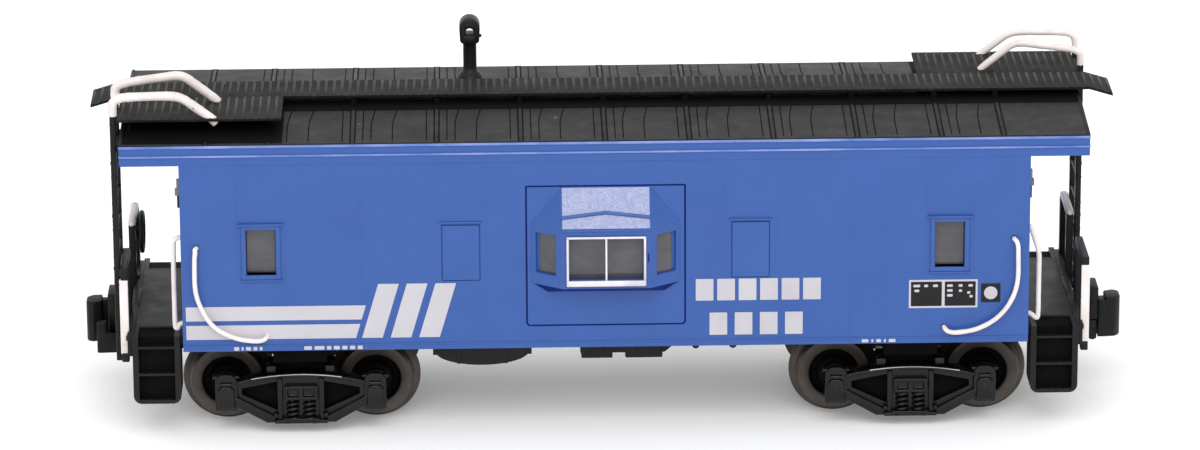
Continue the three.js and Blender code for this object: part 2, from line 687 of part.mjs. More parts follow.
function sideframe(side) {
  const [inner, outer] = SIDEFRAME_Y.map((y) => y * side);
  const span = [Math.min(inner, outer), Math.max(inner, outer)];
  const plate = prismAlongY(SIDEFRAME_OUTLINE, span);
  const windows = [-1, 1].map((end) => {
    const corners = [[3.05, 2.62], [3.05, 2.0], [1.15, 1.2], [1.15, 2.9]].map(([x, z]) => [end * x, z]);
    return prismAlongY(end > 0 ? corners.reverse() : corners, [span[0] - 1, span[1] + 1]);
  });
  const journals = [-1, 1].map((end) => box(
    [end * 3.3, end * 4.35],
    [side * 5.5, side * JOURNAL_Y],
    [1.35, 3.1],
  ));
  const bolsterEnd = box(even(0.85), [side * 5.5, side * JOURNAL_Y], [1.87, 2.6]);
  const springs = [-0.45, 0.45].map((x) => upright(0.36, [0.75, 1.9], [x, side * 5.6], 10));
  const pockets = [-1, 1].map((end) => {
    const cone = new THREE.CylinderGeometry(0.12, 0.52, 0.76, 16);
    if (side < 0) cone.rotateX(Math.PI);
    return toSolid(cone.translate(end * HALF_WHEELBASE, side * (SIDEFRAME_Y[0] + 0.36), AXLE_Z));
  });
  return cut(join(cut(plate, windows), journals, bolsterEnd, springs), pockets);
}

function truckFrame() {
  const reach = SIDEFRAME_Y[0] + 0.1;
  const bolster = box(even(BOLSTER_HALF_LENGTH), even(reach), [1.25, 3.2]);
  const plate = upright(1.6, [3.1, TRUCK_TOP_Z], [0, 0]);
  const hole = upright(KINGPIN_HOLE_RADIUS, [0, 6], [0, 0]);
  return cut(join(bolster, plate, sideframe(-1), sideframe(1)), hole);
}

const AXLE_PROFILE = [
  [0, -AXLE_TIP_Y],
  [0.06, -AXLE_TIP_Y],
  [AXLE_RADIUS, -SIDEFRAME_Y[0] + 0.05],
  [AXLE_RADIUS, SIDEFRAME_Y[0] - 0.05],
  [0.06, AXLE_TIP_Y],
  [0, AXLE_TIP_Y],
];

// The back of the wheel is at zero, and its dished face looks along +Y.
const WHEEL_WIDTH = WHEEL_FACE_Y - WHEEL_BACK_Y;
const WHEEL_PROFILE = [
  [BORE_RADIUS, 0],
  [FLANGE_RADIUS - 0.08, 0],
  [FLANGE_RADIUS, 0.1],
  [FLANGE_RADIUS, 0.25],
  [TREAD_RADIUS + 0.04, 0.42],
  [TREAD_RADIUS, WHEEL_WIDTH],
  [TREAD_RADIUS - 0.45, WHEEL_WIDTH],
  [TREAD_RADIUS - 0.55, 0.6],
  [0.95, 0.65],
  [0.8, WHEEL_WIDTH - 0.1],
  [BORE_RADIUS, WHEEL_WIDTH - 0.1],
  [BORE_RADIUS, 0],
];

function kingpin() {
  const head = upright(0.95, [0.9, 1.2], [0, 0], 20);
  const shaft = upright(KINGPIN_RADIUS, [1.1, FLOOR_Z[1] - 0.05], [0, 0], 20);
  return join(head, shaft);
}

ENDS.forEach(([end, turn]) => {
  const truckX = end === 'right' ? TRUCK_X : -TRUCK_X;
  add(`truck_frame_${end}`, truckFrame(), GLOSS_BLACK(), { turn, at: [truckX, 0, 0] });
  add(`kingpin_${end}`, kingpin(), BLACK(), { turn, at: [truckX, 0, 0] });
  [['outer', 1], ['inner', -1]].forEach(([place, sign]) => {
    const x = truckX + Math.sign(truckX) * sign * HALF_WHEELBASE;
    add(`axle_${end}_${place}`, turned(AXLE_PROFILE, 12), STEEL(), { at: [x, 0, AXLE_Z] });
    for (const [side, flip] of [['far', 0], ['near', Math.PI]]) {
      const y = side === 'far' ? WHEEL_BACK_Y : -WHEEL_BACK_Y;
      const name = `wheel_${end}_${place}_${side}`;
      add(name, turned(WHEEL_PROFILE, 18), BLACKENED(), { turn: flip, at: [x, y, AXLE_Z] });
    }
  });
});

// ---------------------------------------------------------------- couplers
function shank([z0, z1]) {
  const bar = box([COUPLER_PIVOT_X - 0.4, 25.3], even(SHANK_HALF_WIDTH), [z0, z1]);
  return cut(bar, upright(0.36, [3, 6], [COUPLER_PIVOT_X, 0], 12));
}

function couplerJaw() {
  const base = box([25.1, 25.6], [-1.2, 1.3], [2.75, SHANK_SPLIT_Z[0]]);
  const jaw = prismAlongZ([[25.1, 0.5], [26.2, 0.75], [26.2, 1.35], [25.1, 1.3]], [2.6, SHANK_SPLIT_Z[0]]);
  const lip = prismAlongZ([[25.7, 0.64], [26.2, 0.75], [26.2, 1.35], [25.7, 1.33]], [SHANK_SPLIT_Z[0] - 0.1, 4.6]);
  return join(shank([SHANK_Z[0], SHANK_SPLIT_Z[0]]), base, jaw, lip);
}

function couplerKnuckle() {
  const base = box([25.15, 25.65], [-1.25, 0.4], [SHANK_SPLIT_Z[1], 5.9]);
  const web = box([25.5, 26.1], [-1.3, -0.75], [SHANK_SPLIT_Z[1], 4.85]);
  const knuckle = prismAlongZ(
    [[26.0, -1.3], [26.5, -1.25], [COUPLER_TIP_X, -0.85], [COUPLER_TIP_X, -0.2], [26.45, 0.1], [26.0, -0.1]],
    [2.8, 5.35],
  );
  return join(shank([SHANK_SPLIT_Z[1], SHANK_Z[1]]), base, web, knuckle);
}

function couplerLid() {
  return box(COUPLER_BOX_X, even(COUPLER_BOX_HALF_WIDTH), [COUPLER_BOX_Z - 0.2, COUPLER_BOX_Z - 0.04]);
}

function couplerSpring() {
  const turns = 3;
  const stepsPerTurn = 7;
  const points = [];
  for (let i = 0; i <= turns * stepsPerTurn; i += 1) {
    const angle = (2 * Math.PI * i) / stepsPerTurn;
    const x = 21.27 + (0.4 * i) / (turns * stepsPerTurn);
    points.push([x, 0.28 * Math.cos(angle), 4.25 + 0.28 * Math.sin(angle)]);
  }
  return wire(points, 0.045, turns * stepsPerTurn, 4);
}

for (const [end, turn] of ENDS) {
  add(`coupler_jaw_${end}`, couplerJaw(), BLACK(), { turn });
  add(`coupler_knuckle_${end}`, couplerKnuckle(), BLACK(), { turn });
  add(`coupler_lid_${end}`, couplerLid(), BLACK(), { turn });
  add(`coupler_spring_${end}`, couplerSpring(), STEEL(), { turn });
}

export default caboose;
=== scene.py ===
"""A bay-window caboose at 1:220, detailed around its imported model. Lengths are in millimetres
until a piece is made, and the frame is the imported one: +X along the car, +Y to its far side, +Z up."""
import math
import random

import bmesh
import bpy
from mathutils import Matrix, Vector


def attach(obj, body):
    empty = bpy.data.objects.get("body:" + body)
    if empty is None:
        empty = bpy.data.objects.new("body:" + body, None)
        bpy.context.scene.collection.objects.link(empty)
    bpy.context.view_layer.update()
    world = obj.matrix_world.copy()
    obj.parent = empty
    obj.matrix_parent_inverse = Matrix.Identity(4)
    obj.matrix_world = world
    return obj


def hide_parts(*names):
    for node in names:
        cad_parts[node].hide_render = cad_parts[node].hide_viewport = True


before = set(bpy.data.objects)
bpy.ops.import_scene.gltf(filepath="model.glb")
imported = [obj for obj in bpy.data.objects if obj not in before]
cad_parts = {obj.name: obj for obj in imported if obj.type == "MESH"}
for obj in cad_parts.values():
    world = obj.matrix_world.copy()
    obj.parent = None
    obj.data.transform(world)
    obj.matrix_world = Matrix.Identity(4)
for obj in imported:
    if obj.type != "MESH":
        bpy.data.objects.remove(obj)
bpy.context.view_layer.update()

MM = 0.001
HALF_TURN = Matrix.Rotation(math.pi, 4, "Z")

# ---- driving dimensions
BODY_X = 21.48
BODY_Y = 6.82
WALL = 0.8
SILL_Z = 4.87
LETTERBOARD_Z = 14.75
SHELL_TOP_Z = 15.7
CANOPY_X = 24.45
BOARD_Y = 6.845

ROOF_EAVE_Z = 15.85
ROOF_PEAK_Z = 16.42
SEAM_PITCH = 4.24
SEAM_XS = [i * SEAM_PITCH for i in range(-4, 5)] + [-20.1, 20.1]

WALK_TOP_Z = 16.78
WALK_THICKNESS = 0.15
WALK_Y = 1.4
WALK_X = 24.95
TONGUE_REACH = 1.2
TONGUE_DROP = 0.36
RIB_PITCH = 0.41
LATERAL_X = (16.3, 24.6)
LATERAL_Y = 5.35

WINDOW_X = 17.43
WINDOW_Z = (8.95, 11.35)
WINDOW_HALF = 0.75
PLATED_X = 7.33
PLATED_HALF = 0.93
PLATED_Z = (8.55, 11.45)

BAY_ROOT_X = 3.8
BAY_FRONT_X = 2.24
BAY_FRONT_Y = BODY_Y + 1.1
BAY_FLOOR_Z = 8.35
BAY_EAVE_Z = 11.5
BAY_RIDGE_Z = 13.4

DOOR_HALF = 1.5
DOOR_Z = (5.95, 13.3)
FLOOR_Z = (5.0, 5.6)
PLATFORM_Y = 4.5
STEP_X = (21.65, 24.08)
STEP_Y = 6.5
STEP_Z = (2.0, 5.6)

TRUCK_X = 15.6
HALF_WHEELBASE = 3.81
AXLE_Z = 2.3

RAILING_X = (24.26, 24.62)
LADDER_X = (24.67, 24.97)
LADDER_YS = (2.1, 5.0)
LADDER_Z = (3.9, 17.15)


# ---- materials
def linear(value):
    """One channel from 0 to 255 as a linear value."""
    share = value / 255
    return share / 12.92 if share <= 0.04045 else ((share + 0.055) / 1.055) ** 2.4


def colour(red, green, blue):
    return (linear(red), linear(green), linear(blue), 1)


class Nodes:
    """A material and short calls that add nodes to it."""

    def __init__(self, name):
        self.material = bpy.data.materials.new(name)
        self.material.use_nodes = True
        self.tree = self.material.node_tree
        self.shader = self.tree.nodes["Principled BSDF"]
        self.place = self.add("ShaderNodeTexCoord").outputs["Object"]

    def add(self, kind, inputs=None, **settings):
        node = self.tree.nodes.new(kind)
        for key, value in settings.items():
            setattr(node, key, value)
        for key, value in (inputs or {}).items():
            if isinstance(value, bpy.types.NodeSocket):
                self.tree.links.new(value, node.inputs[key])
            else:
                node.inputs[key].default_value = value
        return node

    def into(self, socket, value):
        if isinstance(value, bpy.types.NodeSocket):
            self.tree.links.new(value, self.shader.inputs[socket])
        else:
            self.shader.inputs[socket].default_value = value

    def stretched(self, factors):
        """The place in the piece, stretched by a factor along each axis."""
        return self.add("ShaderNodeMapping", {"Vector": self.place, "Scale": factors}).outputs[0]

    def noise(self, size, detail=3.0, place=None):
        """Noise with features of about that many millimetres."""
        inputs = {
            "Vector": place or self.place, "Scale": 1 / (size * MM), "Detail": detail, "Roughness": 0.6
        }
        return self.add("ShaderNodeTexNoise", inputs).outputs["Fac"]

    def ramp(self, value, low, high, out_low=0.0, out_high=1.0):
        inputs = {"Value": value, "From Min": low, "From Max": high, "To Min": out_low, "To Max": out_high}
        return self.add("ShaderNodeMapRange", inputs).outputs[0]

    def mix(self, share, first, second):
        inputs = {0: share, 6: first, 7: second}
        return self.add("ShaderNodeMix", inputs, data_type="RGBA").outputs[2]

    def specks(self, spacing, share):
        """Round specks about that far apart, each covering a share of its cell."""
        inputs = {"Vector": self.place, "Scale": 1 / (spacing * MM)}
        cells = self.add("ShaderNodeTexVoronoi", inputs)
        return self.ramp(cells.outputs["Distance"], share, share * 0.6)

    def bump(self, height, depth, after=None):
        """Relief of about that many millimetres."""
        inputs = {"Height": height, "Distance": depth * MM}
        if after:
            inputs["Normal"] = after
        return self.add("ShaderNodeBump", inputs).outputs[0]


def painted(name, base, shade, rough, relief, grain=0.09, metallic=0.0, coat=0.0, dust=0.0, specular=0.5):
    """Paint or moulded plastic: cloudy colour, uneven gloss, a fine grain, and some dust."""
    m = Nodes(name)
    clouds = m.ramp(m.noise(2.6, 4), 0.3, 0.7)
    tint = m.mix(clouds, colour(*base), colour(*shade))
    if dust:
        fluff = m.ramp(m.noise(0.8, 5), 0.52, 0.75, 0, dust)
        tint = m.mix(fluff, tint, colour(150, 146, 142))
        tint = m.mix(m.ramp(m.specks(1.9, 0.035), 0, 1, 0, 0.8), tint, colour(205, 203, 200))
    m.into("Base Color", tint)
    m.into("Roughness", m.ramp(m.noise(1.3, 4), 0.3, 0.7, rough - 0.06, rough + 0.08))
    m.into("Metallic", metallic)
    m.into("Coat Weight", coat)
    m.into("Coat Roughness", 0.12)
    m.into("Specular IOR Level", specular)
    waves = m.bump(m.noise(0.7, 2), relief * 0.8)
    m.into("Normal", m.bump(m.noise(grain, 3), relief, waves))
    return m.material


def bay_roof_paint():
    """The body blue on the rough-cast slope of the bay roof, lightened to a pale lilac with grainy specks: a
    painted highlight over a real grain.
    """
    m = Nodes("blue_cast_slope_painted_highlight")
    painted_glints = m.ramp(m.noise(0.07, 3), 0.36, 0.7)
    m.into("Base Color", m.mix(painted_glints, colour(62, 78, 138), colour(124, 132, 172)))
    m.into("Roughness", m.ramp(m.noise(0.3, 3), 0.3, 0.7, 0.3, 0.5))
    m.into("Metallic", 0.1)
    m.into("Specular IOR Level", 1.0)
    m.into("Coat Weight", 1.0)
    m.into("Coat Roughness", 0.3)
    m.into("Normal", m.bump(m.noise(0.11, 3), 0.02))
    return m.material


def chipped_white(name, chip):
    """White paint on wire or plastic, worn through to a darker base in places."""
    m = Nodes(name)
    clouds = m.ramp(m.noise(1.4, 4), 0.3, 0.7)
    paint = m.mix(clouds, colour(232, 226, 224), colour(214, 202, 198))
    worn = m.ramp(m.noise(0.42, 5), 0.69, 0.73)
    m.into("Base Color", m.mix(worn, paint, colour(*chip)))
    m.into("Roughness", m.ramp(m.noise(0.5, 3), 0.3, 0.7, 0.32, 0.5))
    m.into("Normal", m.bump(m.noise(0.25, 4), 0.015))
    return m.material


def glazing():
    """A smoked insert as an opaque grey base that paints in the reflection and the light seen through it;
    glossy and faintly streaked.
    """
    m = Nodes("smoked_glazing")
    streaks = m.noise(0.5, 4, m.stretched((0.25, 1, 3.2)))
    clouds = m.ramp(m.noise(1.6, 3), 0.3, 0.7)
    grey = m.mix(clouds, colour(62, 61, 65), colour(80, 78, 84))
    m.into("Base Color", m.mix(m.ramp(streaks, 0.35, 0.75, 0, 0.5), grey, colour(46, 46, 50)))
    m.into("Roughness", m.ramp(streaks, 0.3, 0.7, 0.12, 0.3))
    m.into("Coat Weight", 0.25)
    m.into("Coat Roughness", 0.05)
    m.into("Normal", m.bump(m.noise(0.6, 2), 0.004))
    return m.material


def machined(name, base, shade, rough, metallic):
    """Turned metal, with rings around its own axle."""
    m = Nodes(name)
    clouds = m.ramp(m.noise(0.9, 4), 0.3, 0.7)
    m.into("Base Color", m.mix(clouds, colour(*base), colour(*shade)))
    m.into("Metallic", metallic)
    streaks = m.noise(0.25, 3, m.stretched((1, 6, 1)))
    m.into("Roughness", m.ramp(streaks, 0.3, 0.7, rough - 0.08, rough + 0.1))
    m.into("Normal", m.bump(streaks, 0.006))
    return m.material


FINISH = {
    "blue": painted("blue_paint", (38, 80, 152), (35, 76, 147), 0.4, 0.004),
    # lighter blue for the letterboard beads and top lip: a painted highlight
    "blue_edge_highlight": painted("blue_painted_edge_highlight", (60, 98, 172), (132, 148, 206), 0.35, 0.004),
    # the bay's rough-cast slope, lightened to pale lilac: a painted highlight over a real grain
    "blue_cast_highlight": bay_roof_paint(),
    # dark blue for the joint round the bay panel and for painted shade under the bay
    "groove": painted("joint_and_painted_shade_blue", (15, 36, 116), (13, 31, 104), 0.6, 0.004, specular=0.15),
    "roof": painted("roof_black_paint", (19, 20, 20), (14, 14, 15), 0.5, 0.008, dust=0.05, specular=0.32),
    "walk": painted("etched_walk_paint", (15, 13, 13), (11, 10, 9), 0.6, 0.012, dust=0.04, specular=0.18),
    # lighter ribs on the walk: a painted highlight
    "walk_rib_highlight": painted("etched_walk_ribs_painted_highlight", (38, 35, 33), (24, 22, 21), 0.5, 0.012, specular=0.25),
    "black": painted("detail_black_plastic", (24, 23, 23), (17, 17, 17), 0.42, 0.008, specular=0.22),
    # near-black for painted shade in recesses, gaps and under things
    "shade_black": painted("painted_shade_black", (5, 5, 6), (3, 3, 4), 0.75, 0.006, specular=0.1),
    "coupler": painted("coupler_plastic", (20, 19, 19), (13, 13, 13), 0.45, 0.01, specular=0.2),
    "grey": painted("worn_grey_paint", (128, 128, 131), (92, 92, 96), 0.5, 0.012),
    # a bright line along the truck's top chord: a painted highlight
    "worn": painted("chord_painted_highlight", (214, 210, 206), (120, 112, 106), 0.28, 0.01, metallic=0.6),
    "truck": painted("truck_gloss_plastic", (9, 9, 10), (5, 5, 6), 0.2, 0.016, coat=0.22, specular=0.2),
    "white_print": painted("white_print", (188, 186, 192), (178, 175, 182), 0.45, 0.006, 0.06),
    "black_print": painted("black_print", (10, 10, 12), (17, 17, 20), 0.5, 0.005, 0.06, specular=0.3),
    "wire": chipped_white("white_wire_paint", (150, 128, 122)),
    "rail": chipped_white("white_rail_paint", (120, 114, 112)),
    "silver": painted("silver_frame_paint", (232, 230, 234), (190, 186, 194), 0.3, 0.02, 0.05, 0.25),
    "glass": glazing(),
    "wheel": machined("blackened_wheel", (80, 72, 66), (62, 56, 50), 0.45, 0.4),
    "steel": machined("turned_steel", (150, 150, 152), (120, 120, 124), 0.3, 0.9),
}


# ---- solids
def spans(first, second):
    """Two distances in order."""
    return (min(first, second), max(first, second))


def on(which, first, second):
    """The span between two distances from the middle, on the side or end where which is 1 or -1."""
    return spans(which * first, which * second)


def about(middle, half):
    """The span that reaches half either way from the middle."""
    return (middle - half, middle + half)


def block(xs, ys, zs):
    """A box between three spans."""
    part = bmesh.new()
    x, y, z = spans(*xs), spans(*ys), spans(*zs)
    size = Matrix.Diagonal((x[1] - x[0], y[1] - y[0], z[1] - z[0], 1))
    middle = Matrix.Translation(((x[0] + x[1]) / 2, (y[0] + y[1]) / 2, (z[0] + z[1]) / 2))
    bmesh.ops.create_cube(part, size=1, matrix=middle @ size)
    return part


# the frame's directions that stand for across, up and along
AXES = {
    "x": ((0, 1, 0), (0, 0, 1), (1, 0, 0)),
    "y": ((1, 0, 0), (0, 0, 1), (0, 1, 0)),
    "z": ((1, 0, 0), (0, 1, 0), (0, 0, 1)),
}


def axis_matrix(axis, at=(0, 0, 0)):
    """Takes (across, up, along) to the frame, along that axis."""
    columns = [Vector(v) for v in AXES[axis]]
    matrix = Matrix(columns).transposed().to_4x4()
    matrix.translation = Vector(at)
    return matrix


def join_rings(part, first, second):
    """Faces between two rings of points, either of which may be a single point."""
    count = max(len(first), len(second))
    for i in range(count):
        j = (i + 1) % count
        if len(first) == 1:
            part.faces.new((first[0], second[i], second[j]))
        elif len(second) == 1:
            part.faces.new((first[i], first[j], second[0]))
        else:
            part.faces.new((first[i], first[j], second[j], second[i]))


def circle(sides):
    """Angles at even steps round a circle."""
    return [2 * math.pi * i / sides for i in range(sides)]


def prism(points, axis, span):
    """A closed outline of (across, up) points, drawn out along an axis."""
    part = bmesh.new()
    rings = [[part.verts.new((a, b, c)) for a, b in points] for c in span]
    part.faces.new(rings[0])
    part.faces.new(rings[1])
    join_rings(part, *rings)
    part.transform(axis_matrix(axis))
    bmesh.ops.recalc_face_normals(part, faces=part.faces)
    return part


def lathe(profile, axis, at, sides=48):
    """A profile of (radius, along) points turned about an axis. A profile that doesn't start and end at
    radius 0 closes on itself."""
    part = bmesh.new()
    rings = []
    for radius, along in profile:
        if radius < 1e-6:
            rings.append([part.verts.new((0, 0, along))])
        else:
            points = [(radius * math.cos(a), radius * math.sin(a), along) for a in circle(sides)]
            rings.append([part.verts.new(point) for point in points])
    pairs = list(zip(rings, rings[1:]))
    if len(rings[0]) > 1:
        pairs.append((rings[-1], rings[0]))
    for first, second in pairs:
        join_rings(part, first, second)
    part.transform(axis_matrix(axis, at))
    bmesh.ops.recalc_face_normals(part, faces=part.faces)
    return part


def rod(radius, axis, span, at, sides=20):
    """A round bar. at gives its centre line."""
    return lathe([(0, span[0]), (radius, span[0]), (radius, span[1]), (0, span[1])], axis, at, sides)


def smooth_path(points, steps):
    """Points at even steps on a smooth curve through the given ones."""
    ends = [points[0] * 2 - points[1]] + points + [points[-1] * 2 - points[-2]]
    path = []
    for i in range(1, len(ends) - 2):
        a, b, c, d = ends[i - 1:i + 3]
        for k in range(steps):
            t = k / steps
            curve = (a * 2 - b * 5 + c * 4 - d) * t * t + (b * 3 - a - c * 3 + d) * t ** 3
            path.append((b * 2 + (c - a) * t + curve) / 2)
    return path + [points[-1]]


def tube(points, radius, steps=8, sides=12, wobble=0.0, seed=1):
    """A round wire along a smooth curve, with flat ends."""
    path = smooth_path([Vector(p) for p in points], steps)
    draw = random.Random(seed)
    part = bmesh.new()
    rings = []
    side = Vector((0, 0, 1))
    for i, point in enumerate(path):
        ahead = path[min(i + 1, len(path) - 1)] - path[max(i - 1, 0)]
        ahead.normalize()
        side = side - ahead * side.dot(ahead)
        if side.length < 1e-4:
            side = ahead.orthogonal()
        side.normalize()
        up = ahead.cross(side)
        thick = radius * (1 + wobble * (draw.random() - 0.5))
        ring = [point + (side * math.cos(a) + up * math.sin(a)) * thick for a in circle(sides)]
        rings.append([part.verts.new(corner) for corner in ring])
    for first, second in zip(rings, rings[1:]):
        join_rings(part, first, second)
    part.faces.new(rings[0])
    part.faces.new(rings[-1])
    bmesh.ops.recalc_face_normals(part, faces=part.faces)
    return part


def rounded(x, z, corners, steps=5):
    """The outline of a rectangle whose corners have these radii, from the low-left one round."""
    (x0, x1), (z0, z1) = x, z
    turns = [
        ((x0, z0), (1, 1), 180), ((x1, z0), (-1, 1), 270), ((x1, z1), (-1, -1), 0), ((x0, z1), (1, -1), 90)
    ]
    points = []
    for ((cx, cz), (dx, dz), start), radius in zip(turns, corners):
        if radius <= 0:
            points.append((cx, cz))
            continue
        for i in range(steps + 1):
            angle = math.radians(start + 90 * i / steps)
            across = cx + dx * radius + radius * math.cos(angle)
            points.append((across, cz + dz * radius + radius * math.sin(angle)))
    return points


def hull(points):
    """The convex solid round the points."""
    part = bmesh.new()
    for point in points:
        part.verts.new(point)
    made = bmesh.ops.convex_hull(part, input=part.verts)
    bmesh.ops.delete(part, geom=list(set(made["geom_unused"] + made["geom_interior"])), context="VERTS")
    bmesh.ops.dissolve_limit(part, angle_limit=0.01, verts=part.verts, edges=part.edges)
    bmesh.ops.recalc_face_normals(part, faces=part.faces)
    return part


def soften(part, width, segments=2, angle=0.5):
    """Rounds every edge sharper than the angle."""
    edges = [e for e in part.edges if len(e.link_faces) == 2 and e.calc_face_angle() > angle]
    bmesh.ops.bevel(
        part, geom=edges, offset=width, segments=segments, affect="EDGES", profile=0.5, clamp_overlap=True
    )
    return part


def moved(part, matrix):
    """The solid moved or mirrored, with its faces still outwards."""
    part.transform(matrix)
    if matrix.determinant() < 0:
        bmesh.ops.reverse_faces(part, faces=part.faces)
    return part


class Shape:
    """Closed solids gathered into one mesh, each in one of the shape's finishes."""

    def __init__(self, *finishes):
        self.finishes = list(finishes)
        self.mesh = bmesh.new()

    def take(self, part, finish=None, soft=0.0, segments=2):
        if soft:
            soften(part, soft, segments)
        index = self.finishes.index(finish) if finish else 0
        for face in part.faces:
            face.material_index = index
        mesh = bpy.data.meshes.new("part")
        part.to_mesh(mesh)
        part.free()
        self.mesh.from_mesh(mesh)
        bpy.data.meshes.remove(mesh)
        return self

    def box(self, xs, ys, zs, soft=0.03, finish=None):
        return self.take(block(xs, ys, zs), finish, soft)

    def prism(self, points, axis, span, soft=0.0, finish=None):
        return self.take(prism(points, axis, span), finish, soft)

    def rod(self, radius, axis, span, at, sides=20, soft=0.0, finish=None):
        return self.take(rod(radius, axis, span, at, sides), finish, soft)

    def lathe(self, profile, axis, at, sides=48, soft=0.0, finish=None):
        return self.take(lathe(profile, axis, at, sides), finish, soft)


def to_object(part, name):
    mesh = bpy.data.meshes.new(name)
    part.to_mesh(mesh)
    part.free()
    thing = bpy.data.objects.new(name, mesh)
    bpy.context.scene.collection.objects.link(thing)
    return thing


def settled(thing):
    """The object's mesh with its modifiers applied, as solids again."""
    bpy.context.view_layer.update()
    graph = bpy.context.evaluated_depsgraph_get()
    mesh = bpy.data.meshes.new_from_object(thing.evaluated_get(graph))
    part = bmesh.new()
    part.from_mesh(mesh)
    bpy.data.meshes.remove(mesh)
    bpy.data.objects.remove(thing)
    return part


def carved(base, *tools):
    """A solid with others cut out of it, one at a time."""
    for tool in tools:
        thing = to_object(base, "base")
        cutter = to_object(tool, "cutter")
        cut = thing.modifiers.new("cut", "BOOLEAN")
        cut.operation = "DIFFERENCE"
        cut.solver = "EXACT"
        cut.object = cutter
        base = settled(thing)
        bpy.data.objects.remove(cutter)
    bmesh.ops.remove_doubles(base, verts=base.verts, dist=1e-4)
    bmesh.ops.dissolve_limit(base, angle_limit=0.005, verts=base.verts, edges=base.edges)
    return base


def make(name, shape, turned=False, body="car_body", at=(0, 0, 0), stands_for=None):
    """Makes the piece in metres, gives it its finishes, and puts it on its body."""
    thing = to_object(shape.mesh, name)
    for finish in shape.finishes:
        thing.data.materials.append(FINISH[finish])
    for face in thing.data.polygons:
        face.use_smooth = True
    thing.data.set_sharp_from_angle(angle=math.radians(50))
    weigh = thing.modifiers.new("weigh", "WEIGHTED_NORMAL")
    weigh.keep_sharp = True
    matrix = Matrix.Translation(at) @ (HALF_TURN if turned else Matrix.Identity(4))
    thing.data.transform(Matrix.Scale(MM, 4) @ matrix)
    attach(thing, body)
    if stands_for:
        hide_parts(stands_for)


def stand_in(node, shape, turned=False, body="car_body", at=(0, 0, 0)):
    """Makes the piece that takes the place of the node of that name."""
    make(f"{node}_detailed", shape, turned, body, at, node)


SIDES = (("near", False), ("far", True))
ENDS = (("right", False), ("left", True))


# ---- body shell
def frame_bars(half_width, z_span, width, ys):
    """Four bars round an opening at x 0."""
    outer = half_width + width
    low, high = z_span
    return [
        ((-outer, -half_width), ys, (low - width, high + width)),
        ((half_width, outer), ys, (low - width, high + width)),
        ((-half_width - 0.02, half_width + 0.02), ys, (low - width, low)),
        ((-half_width - 0.02, half_width + 0.02), ys, (high, high + width)),
    ]


def shifted(xs, offset):
    return tuple(x + offset for x in xs)


JOINT_Z = (SILL_Z, 14.7)
HALF_JOINT = 0.02
BEAD_X = CANOPY_X + 0.02


def wall_details(shape, side):
    """Trim on one long side: letterboard, sill bead, panel joints, window surrounds."""
    def strip(xs, proud, zs, soft=0.02):
        shape.box(xs, on(side, BODY_Y - 0.1, BODY_Y + proud), zs, soft)

    def joint(x, proud=0.008):
        strip(about(x, HALF_JOINT), proud, JOINT_Z, 0)

    board = on(side, BOARD_Y - 0.7, BOARD_Y)
    shape.box((-CANOPY_X, CANOPY_X), board, (LETTERBOARD_Z, SHELL_TOP_Z))
    bead = on(side, BODY_Y - 0.1, BODY_Y + 0.1)
    # The bead and the lip above it are a lighter blue: a painted highlight.
    shape.box((-BEAD_X, BEAD_X), bead, (15.2, 15.3), 0.025, "blue_edge_highlight")
    shape.box((-BEAD_X, BEAD_X), on(side, 6.8, 6.92), (15.68, 15.8), 0.03, "blue_edge_highlight")
    strip((-BODY_X + 0.02, BODY_X - 0.02), 0.035, (5.14, 5.23), 0.012)
    for x in (-WINDOW_X, WINDOW_X):
        for xs, ys, zs in frame_bars(WINDOW_HALF, WINDOW_Z, 0.24, on(side, 6.3, BODY_Y + 0.1)):
            shape.box(shifted(xs, x), ys, zs, 0.03)
        strip(about(x, 1.14), 0.17, (11.57, 11.68))
        strip(about(x, 1.05), 0.14, (8.62, 8.71))
        for edge in (-1.2, 1.2):
            joint(x + edge)
    for x in (-PLATED_X, PLATED_X):
        shape.box(about(x, PLATED_HALF), on(side, 6.6, BODY_Y + 0.035), PLATED_Z, 0.025)
        strip(about(x, 1.08), 0.1, (11.57, 11.66))
        for edge in (-1.3, 1.3):
            joint(x + edge)
    for x in (-12.4, 12.4):
        joint(x, 0.01)


